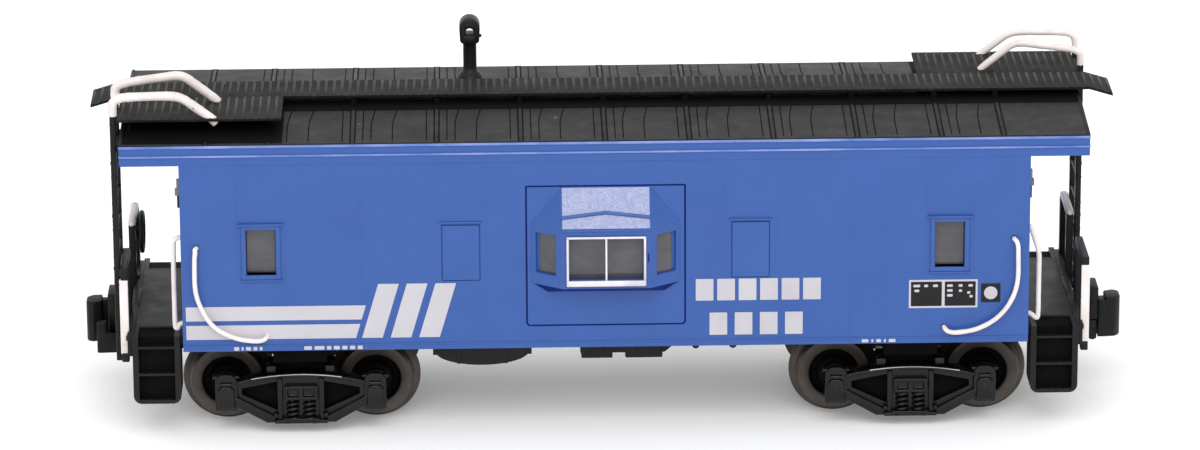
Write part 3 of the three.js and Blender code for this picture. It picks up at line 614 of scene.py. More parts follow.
def end_details(shape, end):
    """Trim on one end wall: door, its window surround, hinges, and a marker bracket."""
    def plate(proud_from, proud_to, ys, zs, soft=0.025, finish=None):
        shape.box(on(end, BODY_X + proud_from, BODY_X + proud_to), ys, zs, soft, finish)

    beam = on(end, CANOPY_X - 0.35, CANOPY_X - 0.01)
    shape.box(beam, (-6.3, 6.3), (LETTERBOARD_Z + 0.01, SHELL_TOP_Z - 0.01), 0.03)
    bead = on(end, CANOPY_X - 0.1, CANOPY_X + 0.03)
    # The bead is a lighter blue: a painted highlight.
    shape.box(bead, (-6.75, 6.75), (15.21, 15.29), 0.025, "blue_edge_highlight")
    plate(-0.4, 0.06, (-DOOR_HALF - 0.2, -DOOR_HALF), (DOOR_Z[0] - 0.1, DOOR_Z[1] + 0.2))
    plate(-0.4, 0.06, (DOOR_HALF, DOOR_HALF + 0.2), (DOOR_Z[0] - 0.1, DOOR_Z[1] + 0.2))
    plate(-0.4, 0.12, (-DOOR_HALF - 0.25, DOOR_HALF + 0.25), (DOOR_Z[1], DOOR_Z[1] + 0.22))
    for low, high, narrowing in ((6.4, 9.3, 1), (9.6, 12.9, 0.8)):
        for ys, _, zs in frame_bars(1.05, (low + 0.15, high - 0.15), 0.12, None):
            plate(-0.3, -0.1, (ys[0] * narrowing, ys[1] * narrowing), zs, 0.02)
    for z in (7.0, 9.4, 12.4):
        plate(-0.25, 0.03, (-DOOR_HALF - 0.08, -DOOR_HALF + 0.16), (z, z + 0.42), 0.03)
    shape.rod(0.09, "y", (0.9, 1.3), (end * (BODY_X + 0.02), 0, 8.9), 12, 0.02)
    shape.rod(0.06, "x", on(end, BODY_X - 0.25, BODY_X + 0.02), (0, 1.22, 8.9), 10)
    for y in (-4.15, 4.15):
        for ys, _, zs in frame_bars(0.75, (9.6, 12.0), 0.16, None):
            plate(-0.1, 0.07, shifted(ys, y), zs, 0.02)
        plate(-0.1, 0.03, about(y, 0.72), (9.62, 11.98), 0.02)
    for y in (-5.9, 5.9):
        plate(-0.1, 0.17, about(y, 0.12), (12.95, 13.8), 0.03, "grey")
        plate(-0.1, 0.15, about(y, 0.12), (12.3, 13.0), 0.03, "black")
        plate(0.0, 0.26, about(y, 0.16), (12.95, 13.3), 0.04, "grey")


def body_shell():
    walls = block((-BODY_X, BODY_X), (-BODY_Y, BODY_Y), (SILL_Z, SHELL_TOP_Z))
    inner_x = BODY_X - WALL
    inner_y = BODY_Y - WALL
    tools = [block((-inner_x, inner_x), (-inner_y, inner_y), (SILL_Z - 1, SHELL_TOP_Z + 1))]
    for x in (-WINDOW_X, WINDOW_X):
        tools.append(block(about(x, WINDOW_HALF), (-8, 8), WINDOW_Z))
    groove = 0.045
    half = PLATED_HALF + groove
    plated_z = (PLATED_Z[0] - groove, PLATED_Z[1] + groove)
    for side in (-1, 1):
        for x in (-PLATED_X, PLATED_X):
            tools.append(block(about(x, half), on(side, BODY_Y - 0.06, BODY_Y + 1), plated_z))
    tools.append(prism(rounded((-4.05, 4.05), (6.03, 13.5), (0.2, 0.2, 0.06, 0.06)), "y", (-8, 8)))
    tools.append(block((-23, 23), (-PLATFORM_Y - 0.05, PLATFORM_Y + 0.05), (SILL_Z - 1, FLOOR_Z[1] + 0.05)))
    for end in (-1, 1):
        tools.append(block(on(end, BODY_X - 0.15, BODY_X + 1), (-DOOR_HALF, DOOR_HALF), DOOR_Z))
    tools.append(block((-23, 23), (-0.7, 0.7), (10.1, 12.6)))
    shape = Shape("blue", "blue_edge_highlight", "grey", "black")
    shape.take(carved(walls, *tools), None, 0.035)
    for side in (-1, 1):
        wall_details(shape, side)
    for end in (-1, 1):
        end_details(shape, end)
    return shape


stand_in("body_shell", body_shell())


# ---- printed markings
PRINT_BACK_Y = -BODY_Y + 0.05
PRINT_FACE_Y = -BODY_Y - 0.022
SILL_MARK_Z = (4.93, 5.12)


def print_block(shape, xs, zs, finish=None, proud=0.0):
    """A printed patch with faintly rounded corners, on the near side."""
    outline = rounded(xs, zs, (0.03, 0.03, 0.03, 0.03), 2)
    shape.prism(outline, "y", (PRINT_FACE_Y - proud, PRINT_BACK_Y), finish=finish)


def row_of_blocks(shape, start, widths, gap, zs):
    x = start
    for width in widths:
        print_block(shape, (x, x + width), zs)
        x += width + gap


def side_stripes():
    """Two long stripes that end in three plain slanted bars."""
    shape = Shape("white_print")
    lean, low_z, top_z, bar = 0.3, 5.53, 8.4, 1.05
    for zs in ((6.52, 7.27), (low_z, 6.28)):
        ends = [-12.7 + (z - low_z) * lean for z in zs]
        outline = [(-21.3, zs[0]), (ends[0], zs[0]), (ends[1], zs[1]), (-21.3, zs[1])]
        shape.prism(outline, "y", (PRINT_FACE_Y, PRINT_BACK_Y))
    shift = (top_z - low_z) * lean
    for x in (-12.4, -10.95, -9.5):
        outline = [(x, low_z), (x + bar, low_z), (x + bar + shift, top_z), (x + shift, top_z)]
        shape.prism(outline, "y", (PRINT_FACE_Y, PRINT_BACK_Y))
    return shape


def side_lettering_blocks():
    """Plain bars where a name and a number would be, and short marks along the sill."""
    shape = Shape("white_print")
    row_of_blocks(shape, 4.55, (0.9,) * 6, 0.19, (7.3, 8.45))
    row_of_blocks(shape, 5.25, (0.9,) * 4, 0.38, (5.46, 6.65))
    row_of_blocks(shape, -18.9, (0.26, 0.1, 0.26, 0.2, 0.14), 0.12, SILL_MARK_Z)
    row_of_blocks(shape, -15.35, (0.4, 0.5, 0.22, 0.3, 0.26, 0.26, 0.26), 0.13, SILL_MARK_Z)
    row_of_blocks(shape, 13.0, (0.34, 0.1, 0.24, 0.1, 0.34), 0.15, (4.95, 5.12))
    return shape


SMALL_BARS = (
    (15.6, 15.95, 7.88), (15.66, 15.9, 7.62), (16.15, 16.35, 7.88), (16.6, 16.85, 7.88),
    (17.32, 17.6, 7.88), (17.32, 17.6, 7.62), (17.32, 17.6, 7.36), (17.9, 18.1, 7.88),
    (17.92, 18.08, 7.6), (18.4, 18.62, 7.88), (18.34, 18.5, 7.5), (18.46, 18.62, 7.3),
)


def data_panels():
    """Two bordered black panels with small bars, and a black square with a white dot."""
    shape = Shape("white_print", "black_print")
    print_block(shape, (15.38, 18.87), (6.76, 8.26))
    for xs in ((15.48, 17.05), (17.2, 18.77)):
        print_block(shape, xs, (6.86, 8.16), "black_print", 0.008)
    for x0, x1, z in SMALL_BARS:
        print_block(shape, (x0, x1), (z, z + 0.13), None, 0.016)
    print_block(shape, (19.05, 20.03), (7.03, 8.02), "black_print", 0.004)
    shape.rod(0.34, "y", (PRINT_FACE_Y - 0.012, PRINT_BACK_Y), (19.54, 0, 7.53), 40)
    return shape


MARKINGS = (("stripes", side_stripes), ("blocks", side_lettering_blocks), ("data_panels", data_panels))
for side, turned in SIDES:
    for stem, build in MARKINGS:
        make(f"printed_{stem}_{side}", build(), turned)


# ---- roof
def roof_z(y):
    return ROOF_PEAK_Z - (ROOF_PEAK_Z - ROOF_EAVE_Z) * abs(y) / BODY_Y


def roof_outline(rise, half):
    eave = roof_z(half) + rise
    return [(-half, 15.73), (half, 15.73), (half, eave), (0, ROOF_PEAK_Z + rise), (-half, eave)]


# each bead's distance from its seam, and how far it bends
BEADS = ((-0.52, 0.0), (0.52, 0.0), (1.05, 0.12), (2.15, 0.14))


def roof_bead(x, bend, side):
    """A thin stamped bead that runs down one slope in a slight S."""
    points = []
    for i in range(9):
        share = i / 8
        y = 1.3 + 5.2 * share
        offset = bend * math.cos(math.pi * min(1.0, share * 1.6))
        points.append(Vector((x + offset, side * y, roof_z(y))))
    return tube(points, 0.032, 2, 6)


def slope_strip(xs, ys, rise, side):
    """A thin layer on one slope of the roof."""
    outline = [(side * ys[0], roof_z(ys[0]) - 0.05), (side * ys[1], roof_z(ys[1]) - 0.05)]
    outline += [(side * ys[1], roof_z(ys[1]) + rise), (side * ys[0], roof_z(ys[0]) + rise)]
    return prism(outline, "x", spans(*xs))


def roof():
    shape = Shape("roof", "shade_black")
    shape.prism(roof_outline(0, 6.79), "x", (-CANOPY_X, CANOPY_X), 0.03)
    for x in SEAM_XS:
        shape.prism(roof_outline(0.02, 6.77), "x", about(x, 0.08), 0.01)
        # Dark lines either side of each seam and the saddles under the walk are painted shade.
        for edge in (-0.12, 0.12):
            shape.prism(roof_outline(0.012, 6.775), "x", about(x + edge, 0.042), finish="shade_black")
        shape.box(about(x, 0.14), (-1.5, 1.5), (15.9, 16.58), 0.03, "shade_black")
    # The beads are drawn in painted shade.
    for x in SEAM_XS[:9]:
        for side in (-1, 1):
            for offset, bend in BEADS:
                if abs(x + offset) < 19.9:
                    shape.take(roof_bead(x + offset, bend, side), "shade_black")
    # Dark bands on the slopes under the walk and under the laterals: painted shadow.
    for side in (-1, 1):
        shape.take(slope_strip((-CANOPY_X + 0.1, CANOPY_X - 0.1), (1.0, 2.3), 0.025, side), "shade_black")
        laterals = on(side, LATERAL_X[0] - 0.05, CANOPY_X - 0.05)
        shape.take(slope_strip(laterals, (1.0, LATERAL_Y + 1.25), 0.028, side), "shade_black")
    for end in (-1, 1):
        shape.prism(roof_outline(0.05, 6.78), "x", on(end, 24.3, 24.46), 0.02)
    return shape


stand_in("roof", roof())


# ---- running board
def droop(shape):
    """Bends what lies beyond the roof walk's ends down to the tongue tips."""
    for vertex in shape.mesh.verts:
        beyond = abs(vertex.co.x) - WALK_X
        if beyond > 0:
            vertex.co.z -= TONGUE_DROP * beyond / TONGUE_REACH


def running_board():
    shape = Shape("walk", "walk_rib_highlight", "shade_black")
    bottom = WALK_TOP_Z - WALK_THICKNESS
    deck = WALK_TOP_Z - 0.025
    tip = WALK_X + TONGUE_REACH
    half_rib = 0.07

    # The ribs are lighter than the deck between them: a painted highlight.
    def ribs(xs, ys):
        count = int(2 * (tip - 0.1) / RIB_PITCH)
        for i in range(count + 1):
            x = (i - count / 2) * RIB_PITCH
            if min(xs) + half_rib < x < max(xs) - half_rib:
                rib = block(about(x, half_rib), ys, (deck - 0.02, WALK_TOP_Z))
                shape.take(rib, "walk_rib_highlight", 0.012, 1)

    for xs in ((-tip, -WALK_X), (-WALK_X, WALK_X), (WALK_X, tip)):
        shape.box(xs, (-WALK_Y, WALK_Y), (bottom, deck), 0)
    ribs((-tip, tip), (-WALK_Y + 0.04, WALK_Y - 0.04))
    for side in (-1, 1):
        xs = [side * x for x in LATERAL_X]
        shape.box(xs, on(side, WALK_Y - 0.05, LATERAL_Y), (bottom, deck), 0.012)
        ribs(xs, on(side, WALK_Y + 0.02, LATERAL_Y - 0.04))
        # The posts under the laterals are in painted shade.
        post_z = (roof_z(LATERAL_Y) + 0.02, bottom + 0.02)
        for x in (LATERAL_X[0] + 0.3, LATERAL_X[1] - 0.6):
            shape.box(on(side, x - 0.07, x + 0.07), on(side, 4.9, 5.1), post_z, 0.02, "shade_black")
    droop(shape)
    return shape


stand_in("running_board", running_board())


# ---- smokejack
def smokejack():
    x, y = -6.76, 4.1
    base = roof_z(y) - 0.02
    shape = Shape("black")
    skirt = [(0.64, 0), (0.62, 0.12), (0.5, 0.26), (0.4, 0.34), (0.35, 0.6)]
    profile = [(0, base)] + [(radius, base + up) for radius, up in skirt]
    profile += [(0.35, 17.9), (0.42, 18.1), (0.45, 18.3), (0, 18.3)]
    shape.lathe(profile, "z", (x, y, 0), 32)
    bends = [math.pi * i / 16 for i in range(17)]
    arch = [(x + 0.535 * math.cos(a), 18.8 + 0.53 * math.sin(a)) for a in bends]
    arch += [(x - 0.5, 18.1), (x - 0.3, 17.96), (x + 0.3, 17.96), (x + 0.5, 18.1)]
    hood = prism(arch, "y", about(y, 0.58))
    throat = prism(rounded(about(x, 0.21), (18.44, 18.82), (0.08, 0.08, 0.2, 0.2)), "y", about(y, 1))
    shape.take(carved(hood, throat), None, 0.09)
    shape.rod(0.09, "x", (x + 0.4, x + 0.62), (0, y - 0.35, 18.4), 12, 0.03)
    return shape


stand_in("smokejack", smokejack())


# ---- bay windows
BAY_OPENING_Z = (BAY_FLOOR_Z + 0.3, BAY_EAVE_Z - 0.05)


def bay_points(z):
    """The bay's outline at a height, from its left root round its front."""
    left = [(-BAY_ROOT_X, -BODY_Y, z), (-BAY_FRONT_X, -BAY_FRONT_Y, z)]
    return left + [(-x, y, z) for x, y, z in reversed(left)]


def slanted_window(side):
    """A cutter for the window in one slanted wall of the bay."""
    front = Vector((BAY_FRONT_X, -BAY_FRONT_Y, 0))
    along = Vector((BAY_ROOT_X - BAY_FRONT_X, BAY_FRONT_Y - BODY_Y, 0))
    out = Vector((along.y, -along.x, 0)).normalized()
    near, far = front + along * 0.21, front + along * 0.85
    corners = [near + out * 0.5, far + out * 0.5, far - out * 0.9, near - out * 0.9]
    return prism([(side * c.x, c.y) for c in corners], "z", (8.98, 11.1))


def bay_insert():
    """The bay with its hollow and windows, its panel in the wall, an underside darkened with painted shade,
    and the rough-cast slope, lightened with a painted highlight, with a chevron across it."""
    shape = Shape("blue", "blue_cast_highlight", "groove")
    back = BODY_Y - 0.35
    ridge = [(-BAY_FRONT_X, -BODY_Y, BAY_RIDGE_Z), (BAY_FRONT_X, -BODY_Y, BAY_RIDGE_Z)]
    ridge += [(-BAY_FRONT_X, -back, BAY_RIDGE_Z), (BAY_FRONT_X, -back, BAY_RIDGE_Z)]
    rear = [(x, -back, z) for x in (-BAY_ROOT_X, BAY_ROOT_X) for z in (BAY_FLOOR_Z, BAY_EAVE_Z)]
    bay = hull(bay_points(BAY_FLOOR_Z) + bay_points(BAY_EAVE_Z) + ridge + rear)
    left = [(-3.3, -5), (-3.3, -BODY_Y), (-2.0, -BAY_FRONT_Y + 0.4)]
    hollow = prism(left + [(-x, y) for x, y in reversed(left)], "z", BAY_OPENING_Z)
    front = block((-1.86, 1.86), (-9, -BAY_FRONT_Y + 0.5), (8.78, 11.05))
    shape.take(carved(bay, hollow, front, slanted_window(1), slanted_window(-1)), None, 0.035)
    panel_ys = (-BODY_Y + 0.01, -BODY_Y + 0.72)
    backing_ys = (-BODY_Y + 0.1, -BODY_Y + 0.76)
    panel = prism(rounded((-3.97, 3.97), (6.11, 13.42), (0.15, 0.15, 0.04, 0.04)), "y", panel_ys)
    backing = prism(rounded((-4.04, 4.04), (6.04, 13.49), (0.18, 0.18, 0.05, 0.05)), "y", backing_ys)
    for layer, finish, soft in ((panel, "blue", 0.03), (backing, "groove", 0)):
        doorway = block((-3.2, 3.2), (-9, -5), BAY_OPENING_Z)
        shape.take(carved(layer, doorway), finish, soft)
    # The lip under the bay is a darker blue: painted shade.
    lip = [(2.2, -BAY_FRONT_Y + 0.05, 8.37)]
    lip += [(x, -BODY_Y + y, z) for x, z in ((3.7, 8.37), (2.95, 7.88)) for y in (0.1, -0.02)]
    shape.take(hull([(side * x, y, z) for side in (-1, 1) for x, y, z in lip]), "groove")
    slope = Matrix((
        (1, 0, 0, 0),
        (0, -0.5011, -0.8654, -BODY_Y),
        (0, -0.8654, 0.5011, BAY_RIDGE_Z),
        (0, 0, 0, 1),
    ))
    # The rough-cast slope is a pale lilac: a painted highlight.
    cast = prism([(-2.2, 0.03), (2.2, 0.03), (2.2, 2.16), (-2.2, 2.16)], "z", (-0.05, 0.012))
    shape.take(moved(cast, slope), "blue_cast_highlight")
    middle_line = [(-2.26, 1.6), (0, 1.33), (2.26, 1.6)]
    chevron = [(x, y - 0.08) for x, y in middle_line] + [(x, y + 0.08) for x, y in reversed(middle_line)]
    shape.take(moved(prism(chevron, "z", (-0.03, 0.13)), slope), None, 0.02)
    eave_x = BAY_FRONT_X + 0.03
    shape.box((-eave_x, eave_x), (-BAY_FRONT_Y - 0.05, -BAY_FRONT_Y + 0.1), (11.36, 11.5))
    shape.box((2.1, 2.17), (-BAY_FRONT_Y - 0.02, -BAY_FRONT_Y + 0.1), (9.75, 10.2), 0.01, "groove")
    return shape


def bay_glazing():
    outer = BAY_FRONT_Y - 0.46
    inner = outer - 0.22
    right = [(1.98, -outer), (2.1, -BAY_FRONT_Y + 0.2), (3.34, -6.9), (3.2, -6.7), (1.95, -inner)]
    points = right + [(-x, y) for x, y in reversed(right)]
    return Shape("glass").take(prism(points, "z", (BAY_FLOOR_Z + 0.35, BAY_EAVE_Z - 0.1)), None, 0.02)


def bay_window_frame():
    shape = Shape("silver")
    y = BAY_FRONT_Y + 0.03
    half = 2.01
    ys = (-y - 0.1, -y)
    shape.box((-half, half), ys, (11.02, 11.13), 0.025)
    for side in (-1, 1):
        shape.box(on(side, half - 0.12, half), ys, (8.6, 11.1), 0.025)
    shape.box((-0.05, 0.05), (-y - 0.09, -y), (8.7, 11.05), 0.02)
    sill = block((-half, half), (-y - 0.17, -y), (8.52, 8.82))
    everything = sill.verts[:] + sill.edges[:] + sill.faces[:]
    bmesh.ops.bisect_plane(sill, geom=everything, plane_co=(0, 0, 0), plane_no=(1, 0, 0))
    shape.take(sill, None, 0.05)
    return shape


for side, turned in SIDES:
    stand_in(f"bay_insert_{side}", bay_insert(), turned)
    stand_in(f"bay_glazing_{side}", bay_glazing(), turned)
    stand_in(f"bay_window_frame_{side}", bay_window_frame(), turned)


# ---- glazing in the body
def side_glazing():
    shape = Shape("glass")
    shape.box((-19.3, 19.3), (-5.97, -5.72), (8.6, 11.7), 0.02)
    for x in (-WINDOW_X, WINDOW_X):
        shape.box(about(x, 0.73), (-6.5, -5.9), (8.97, 11.33), 0.02)
    return shape


def door_glazing():
    shape = Shape("glass")
    shape.box((20.43, 20.63), (-1.0, 1.0), (9.8, 12.9), 0.02)
    shape.box((20.6, 21.0), (-0.68, 0.68), (10.12, 12.58), 0.02)
    return shape


for side, turned in SIDES:
    stand_in(f"side_glazing_{side}", side_glazing(), turned)
for end, turned in ENDS:
    stand_in(f"door_glazing_{end}", door_glazing(), turned)


# ---- grab irons and rails
CORNER_GRAB = [
    (20.68, -6.85, 10.42), (20.74, -7.08, 10.4), (20.84, -7.15, 10.22), (20.88, -7.15, 9.7),
    (20.86, -7.15, 8.2), (20.5, -7.15, 7.1), (19.8, -7.15, 6.25), (18.85, -7.15, 5.72),
    (17.9, -7.15, 5.54), (17.45, -7.12, 5.56), (17.24, -7.04, 5.68), (17.18, -6.82, 5.74),
]


def corner_grab(flip, seed):
    shape = Shape("wire", "shade_black")
    inset = 0.1 if flip < 0 else 0
    route = [(flip * (x - inset if 7 < z < 10.3 else x), y, z) for x, y, z in CORNER_GRAB]
    shape.take(tube(route, 0.12, 6, 12, 0.06, seed))
    # Dark discs where the grab meets the wall: painted shade.
    for x, z in ((20.68, 10.42), (17.18, 5.74)):
        shape.rod(0.15, "y", (-BODY_Y - 0.012, -BODY_Y + 0.05), (flip * x, 0, z), 16, finish="shade_black")
    return shape


RAIL_FOOT = [(24.82, 16.9), (24.82, 17.3)]
ROOF_RAILS = {
    "inner": RAIL_FOOT + [
        (24.75, 17.55), (24.4, 17.74), (23.6, 17.88), (22.4, 18.04), (21.7, 18.12), (21.25, 18.02),
        (20.8, 17.7), (19.85, 16.95), (19.6, 16.7),
    ],
    "outer": RAIL_FOOT + [
        (24.75, 17.6), (24.5, 17.78), (24.0, 17.86), (22.5, 17.9), (21.75, 17.88), (21.3, 17.76),
        (20.9, 17.5), (19.9, 16.75), (19.6, 16.45),
    ],
}


def roof_rail(end, place, y, seed):
    """The paint on the left end's rails is thicker."""
    points = [(x, y, z) for x, z in ROOF_RAILS[place]]
    radius = 0.235 if end == "left" else 0.18
    return Shape("rail").take(tube(points, radius, 6, 16, 0.08, seed))


HANDRAIL_TOPS = {
    "right": [(21.4, 10.8), (21.58, 10.75), (21.8, 10.2), (22.03, 9.4), (22.05, 8.6)],
    "left": [(21.4, 10.72), (21.66, 10.71), (21.82, 10.6), (21.88, 10.3), (21.9, 8.6)],
}


def end_handrail(end, side, seed):
    y = side * 6.0
    foot_x = HANDRAIL_TOPS[end][-1][0]
    route = HANDRAIL_TOPS[end] + [(foot_x, 7.2), (foot_x, 6.2), (foot_x - 0.04, 5.92), (foot_x - 0.15, 5.92)]
    route += [(21.65, 6.12), (21.4, 6.18)]
    points = [(x, y, z) for x, z in route]
    shape = Shape("wire", "black")
    shape.take(tube(points, 0.13, 6, 12, 0.06, seed))
    for z in (HANDRAIL_TOPS[end][0][1], 6.18):
        shape.rod(0.2, "x", (BODY_X - 0.05, BODY_X + 0.02), (0, y, z), 16, finish="black")
    return shape


for index, (side, turned) in enumerate(SIDES):
    for letter, flip in (("a", 1), ("b", -1)):
        stand_in(f"corner_grab_{side}_{letter}", corner_grab(flip, 11 + index + flip), turned)
for index, (end, turned) in enumerate(ENDS):
    for place, y in zip(("inner", "outer"), LADDER_YS):
        stand_in(f"roof_grab_rail_{end}_{place}", roof_rail(end, place, y, 31 + index), turned)
    for letter, side in (("a", -1), ("b", 1)):
        handrail = end_handrail(end, side, 51 + index + side)
        stand_in(f"end_handrail_{end}_{letter}", handrail, turned)


# ---- end railings and ladders
def end_railing(side, white_top):
    """A railing whose faces towards the car are black. Above white_top the outer post and the top bar
    are black as well. Where there is no such height, the top bar is white."""
    shape = Shape("rail", "black")
    inner, outer = side * 2.4, side * 5.5
    reach = side * 0.225
    top = white_top or 8.9
    foot = 4.42
    front, back = RAILING_X
    shape.box((front, 24.7), (outer - 0.2 * reach, outer + reach), (foot, top), 0.05)
    shape.box((front + 0.01, back - 0.01), (outer - reach, outer), (foot, 8.8), 0.04, "black")
    shape.box((front - 0.02, front + 0.03), (outer - reach, outer + 0.8 * reach), (4.45, 8.7), 0.01, "black")
    shape.box(RAILING_X, about(inner, reach), (foot, 8.8), 0.05, "black")
    for y in (inner, outer):
        shape.box((24.28, 24.66), about(y, 0.25), (4.0, 4.5), 0.05, "black")
    if white_top:
        shape.box(
            (front + 0.01, back), (outer - reach, outer + 0.98 * reach), (top - 0.05, 8.9), 0.04, "black"
        )
        shape.box((24.28, 24.66), (inner - reach, outer + reach), (8.55, 9.0), 0.06, "black")
    else:
        shape.box((front, 24.66), (inner - reach, outer + reach), (8.6, 9.0), 0.14)
    return shape


def ladder():
    shape = Shape("black", "rail")
    middle = sum(LADDER_X) / 2
    for y in LADDER_YS:
        shape.box(LADDER_X, about(y, 0.18), (LADDER_Z[0], 16.95), 0.05)
        shape.box((24.3, 24.8), about(y, 0.12), (4.75, 5.05), 0.03)
        shape.box((24.35, 24.8), about(y, 0.12), (15.0, 15.3), 0.03)
        for z in (6.0, 8.8, 11.6, 14.4):
            shape.rod(0.09, "x", (LADDER_X[0] + 0.1, LADDER_X[1] + 0.03), (0, y, z), 12, 0.02)
    for i in range(9):
        z = 5.3 + 1.4 * i
        shape.rod(0.105, "y", LADDER_YS, (middle, 0, z), 14)
        for y in LADDER_YS:
            shape.rod(0.16, "y", about(y, 0.22), (middle, 0, z), 14, 0.03)
    return shape


WHITE_TOPS = {("right", -1): 8.6, ("left", 1): 8.4}
for end, turned in ENDS:
    for letter, side in (("a", -1), ("b", 1)):
        railing = end_railing(side, WHITE_TOPS.get((end, side)))
        stand_in(f"end_railing_{end}_{letter}", railing, turned)
    stand_in(f"end_ladder_{end}", ladder(), turned)


# ---- brake wheel
def brake_wheel():
    """A dished hand wheel on a chain housing, which a bent stand holds next to the ladder."""
    x, y, z = -24.28, 3.3, 8.1
    radius, dish = 1.0, 0.3
    shape = Shape("black")
    rim = [
        (x + dish, y + radius * math.cos(a), z + radius * math.sin(a)) for a in circle(48) + [2 * math.pi]
    ]
    shape.take(tube(rim, 0.13, 1, 12))
    middle = Vector((x, y, z))
    ahead = Vector((dish, 0, 0))
    for angle in circle(5):
        out = Vector((0, math.cos(angle), math.sin(angle)))
        spoke = [middle + out * 0.12, middle + out * 0.55 + ahead * 0.4, middle + out * radius + ahead]
        shape.take(tube(spoke, 0.085, 4, 8))
    shape.rod(0.3, "x", (x - 0.12, x + 0.14), (0, y, z), 24, 0.06)
    shape.rod(0.13, "x", (x - 0.3, x + 0.24), (0, y, z), 14, 0.03)
    shape.box((x - 0.3, x - 0.08), about(y, 0.42), (z - 0.75, z + 0.45), 0.08)
    shape.box((x - 0.3, x - 0.14), about(y, 0.16), (5.62, z), 0.05)
    shape.box((x - 0.33, x + 0.12), about(y, 0.35), (5.6, 5.8), 0.05)
    return shape


stand_in("brake_wheel", brake_wheel())


# ---- underframe
END_BEAM_X = (24.0, 24.35)
PIVOT_X = 22.3
COUPLER_BOX_X = (20.95, 24.0)
COUPLER_BOX_Z = (3.5, 5.1)
SILL_X = 13.2
SILL_Y = 0.9
SILL_TOP_Z = 5.1
EQUIPMENT_Y = (3.4, 5.6)
FLOOR_LEDGE_Z = 5.05


def step_well(end, side):
    """A step well whose lower corners are rounded, with two open steps between its side plates."""
    xs = on(end, *STEP_X)
    ys = on(side, PLATFORM_Y, STEP_Y)
    body = prism(rounded(xs, STEP_Z, (0.42, 0.42, 0.05, 0.05)), "y", ys)
    inner = (xs[0] + 0.3, xs[1] - 0.3)
    tools = []
    for z0, z1 in ((2.2, 3.5), (3.62, 4.94), (5.06, 6.0)):
        tools.append(block(inner, on(side, PLATFORM_Y + 0.25, STEP_Y + 1), (z0, z1)))
    return carved(body, *tools)


def end_platform(shape, end):
    def plate(xs, ys, zs, soft=0.03, finish=None):
        shape.box(on(end, *xs), ys, zs, soft, finish)

    plate((21.4, END_BEAM_X[1]), (-PLATFORM_Y, PLATFORM_Y), FLOOR_Z)
    for side in (-1, 1):
        shape.take(step_well(end, side), None, 0.04)
        # A dark plate behind the steps: painted shade.
        plate((21.94, 23.8), on(side, 4.7, 6.1), (2.1, 5.5), 0.02, "shade_black")
        for z in (2.2, 3.62):
            for i in range(4):
                x = 22.2 + 0.45 * i
                plate((x, x + 0.2), on(side, 6.12, 6.47), about(z, 0.02), 0.01)
        plate((21.5, 21.7), on(side, 4.4, 6.2), (5.1, 5.55))
    for y in (-6.0, 6.0):
        plate(END_BEAM_X, (y, math.copysign(1.35, y)), (4.4, 5.65))
    plate((23.95, END_BEAM_X[1]), (-1.4, 1.4), (5.02, 5.65))
    for ys in ((-5.9, -1.5), (1.5, 5.9)):
        plate((24.3, 24.42), ys, (5.2, 5.45))
    for y in (-5.2, -3.6, 3.6, 5.2):
        shape.rod(0.1, "x", on(end, 24.3, 24.42), (0, y, 4.75), 12, 0.02)


def coupler_box(shape, end):
    for y in (-1.6, 1.3):
        shape.box(on(end, *COUPLER_BOX_X), (y, y + 0.3), COUPLER_BOX_Z, 0.04)
    shape.box(on(end, COUPLER_BOX_X[0], 21.2), (-1.4, 1.4), COUPLER_BOX_Z, 0.03)
    shape.rod(0.3, "z", COUPLER_BOX_Z, (end * PIVOT_X, 0, 0), 24)


def air_tank(shape, side):
    """The air tank under one side, a half-round body between two short flanges."""
    x, half_length, low = side * 6.3, 2.4, 3.55
    ys = on(side, *EQUIPMENT_Y)
    arc = [math.pi * i / 20 for i in range(21)]
    belly = [(x - half_length * math.cos(a), 4.3 - (4.3 - low) * math.sin(a)) for a in arc]
    top = [(x + half_length, FLOOR_LEDGE_Z), (x - half_length, FLOOR_LEDGE_Z)]
    shape.prism(belly + top, "y", ys, 0.06)
    for edge in (-half_length, half_length):
        shape.box(about(x + edge, 0.12), ys, (4.12, FLOOR_LEDGE_Z), 0.04)
    for strap in (-1.2, 1.2):
        band = block(about(x + strap, 0.1), (ys[0] - 0.04, ys[1] + 0.04), (low + 0.1, 5.0))
        shape.take(band, None, 0.03)


def equipment(shape, side):
    """What hangs under the middle of one side: the tank, two boxes on a bar, two lugs, and a pipe."""
    air_tank(shape, side)
    ys = on(side, *EQUIPMENT_Y)
    bar = [(-1.3, FLOOR_LEDGE_Z), (-1.3, 4.12), (3.0, 4.12), (3.7, 4.7), (3.7, FLOOR_LEDGE_Z)]
    shape.prism([(-side * x, z) for x, z in bar], "y", (ys[0] + 0.05, ys[1] - 0.05), 0.04)
    for low_x, high_x in ((-1.25, 0.35), (1.0, 2.9)):
        shape.box((-side * low_x, -side * high_x), ys, (3.85, FLOOR_LEDGE_Z), 0.06)
        middle = -side * (low_x + high_x) / 2
        shape.box(about(middle, 0.35), on(side, 5.55, 5.68), (4.1, 4.6), 0.03)
    for x in (4.6, 6.5):
        shape.rod(0.2, "y", ys, (-side * x, 0, 4.5), 20, 0.04)
        shape.box(about(-side * x, 0.12), ys, (4.5, FLOOR_LEDGE_Z), 0.03)
    y = side * 2.4
    pipe = [(side * 3.6, y, 4.25), (side * 1.5, y, 4.2), (-side * 2.0, y, 4.2), (-side * 9.0, y, 4.35)]
    shape.take(tube(pipe, 0.11, 6, 10))


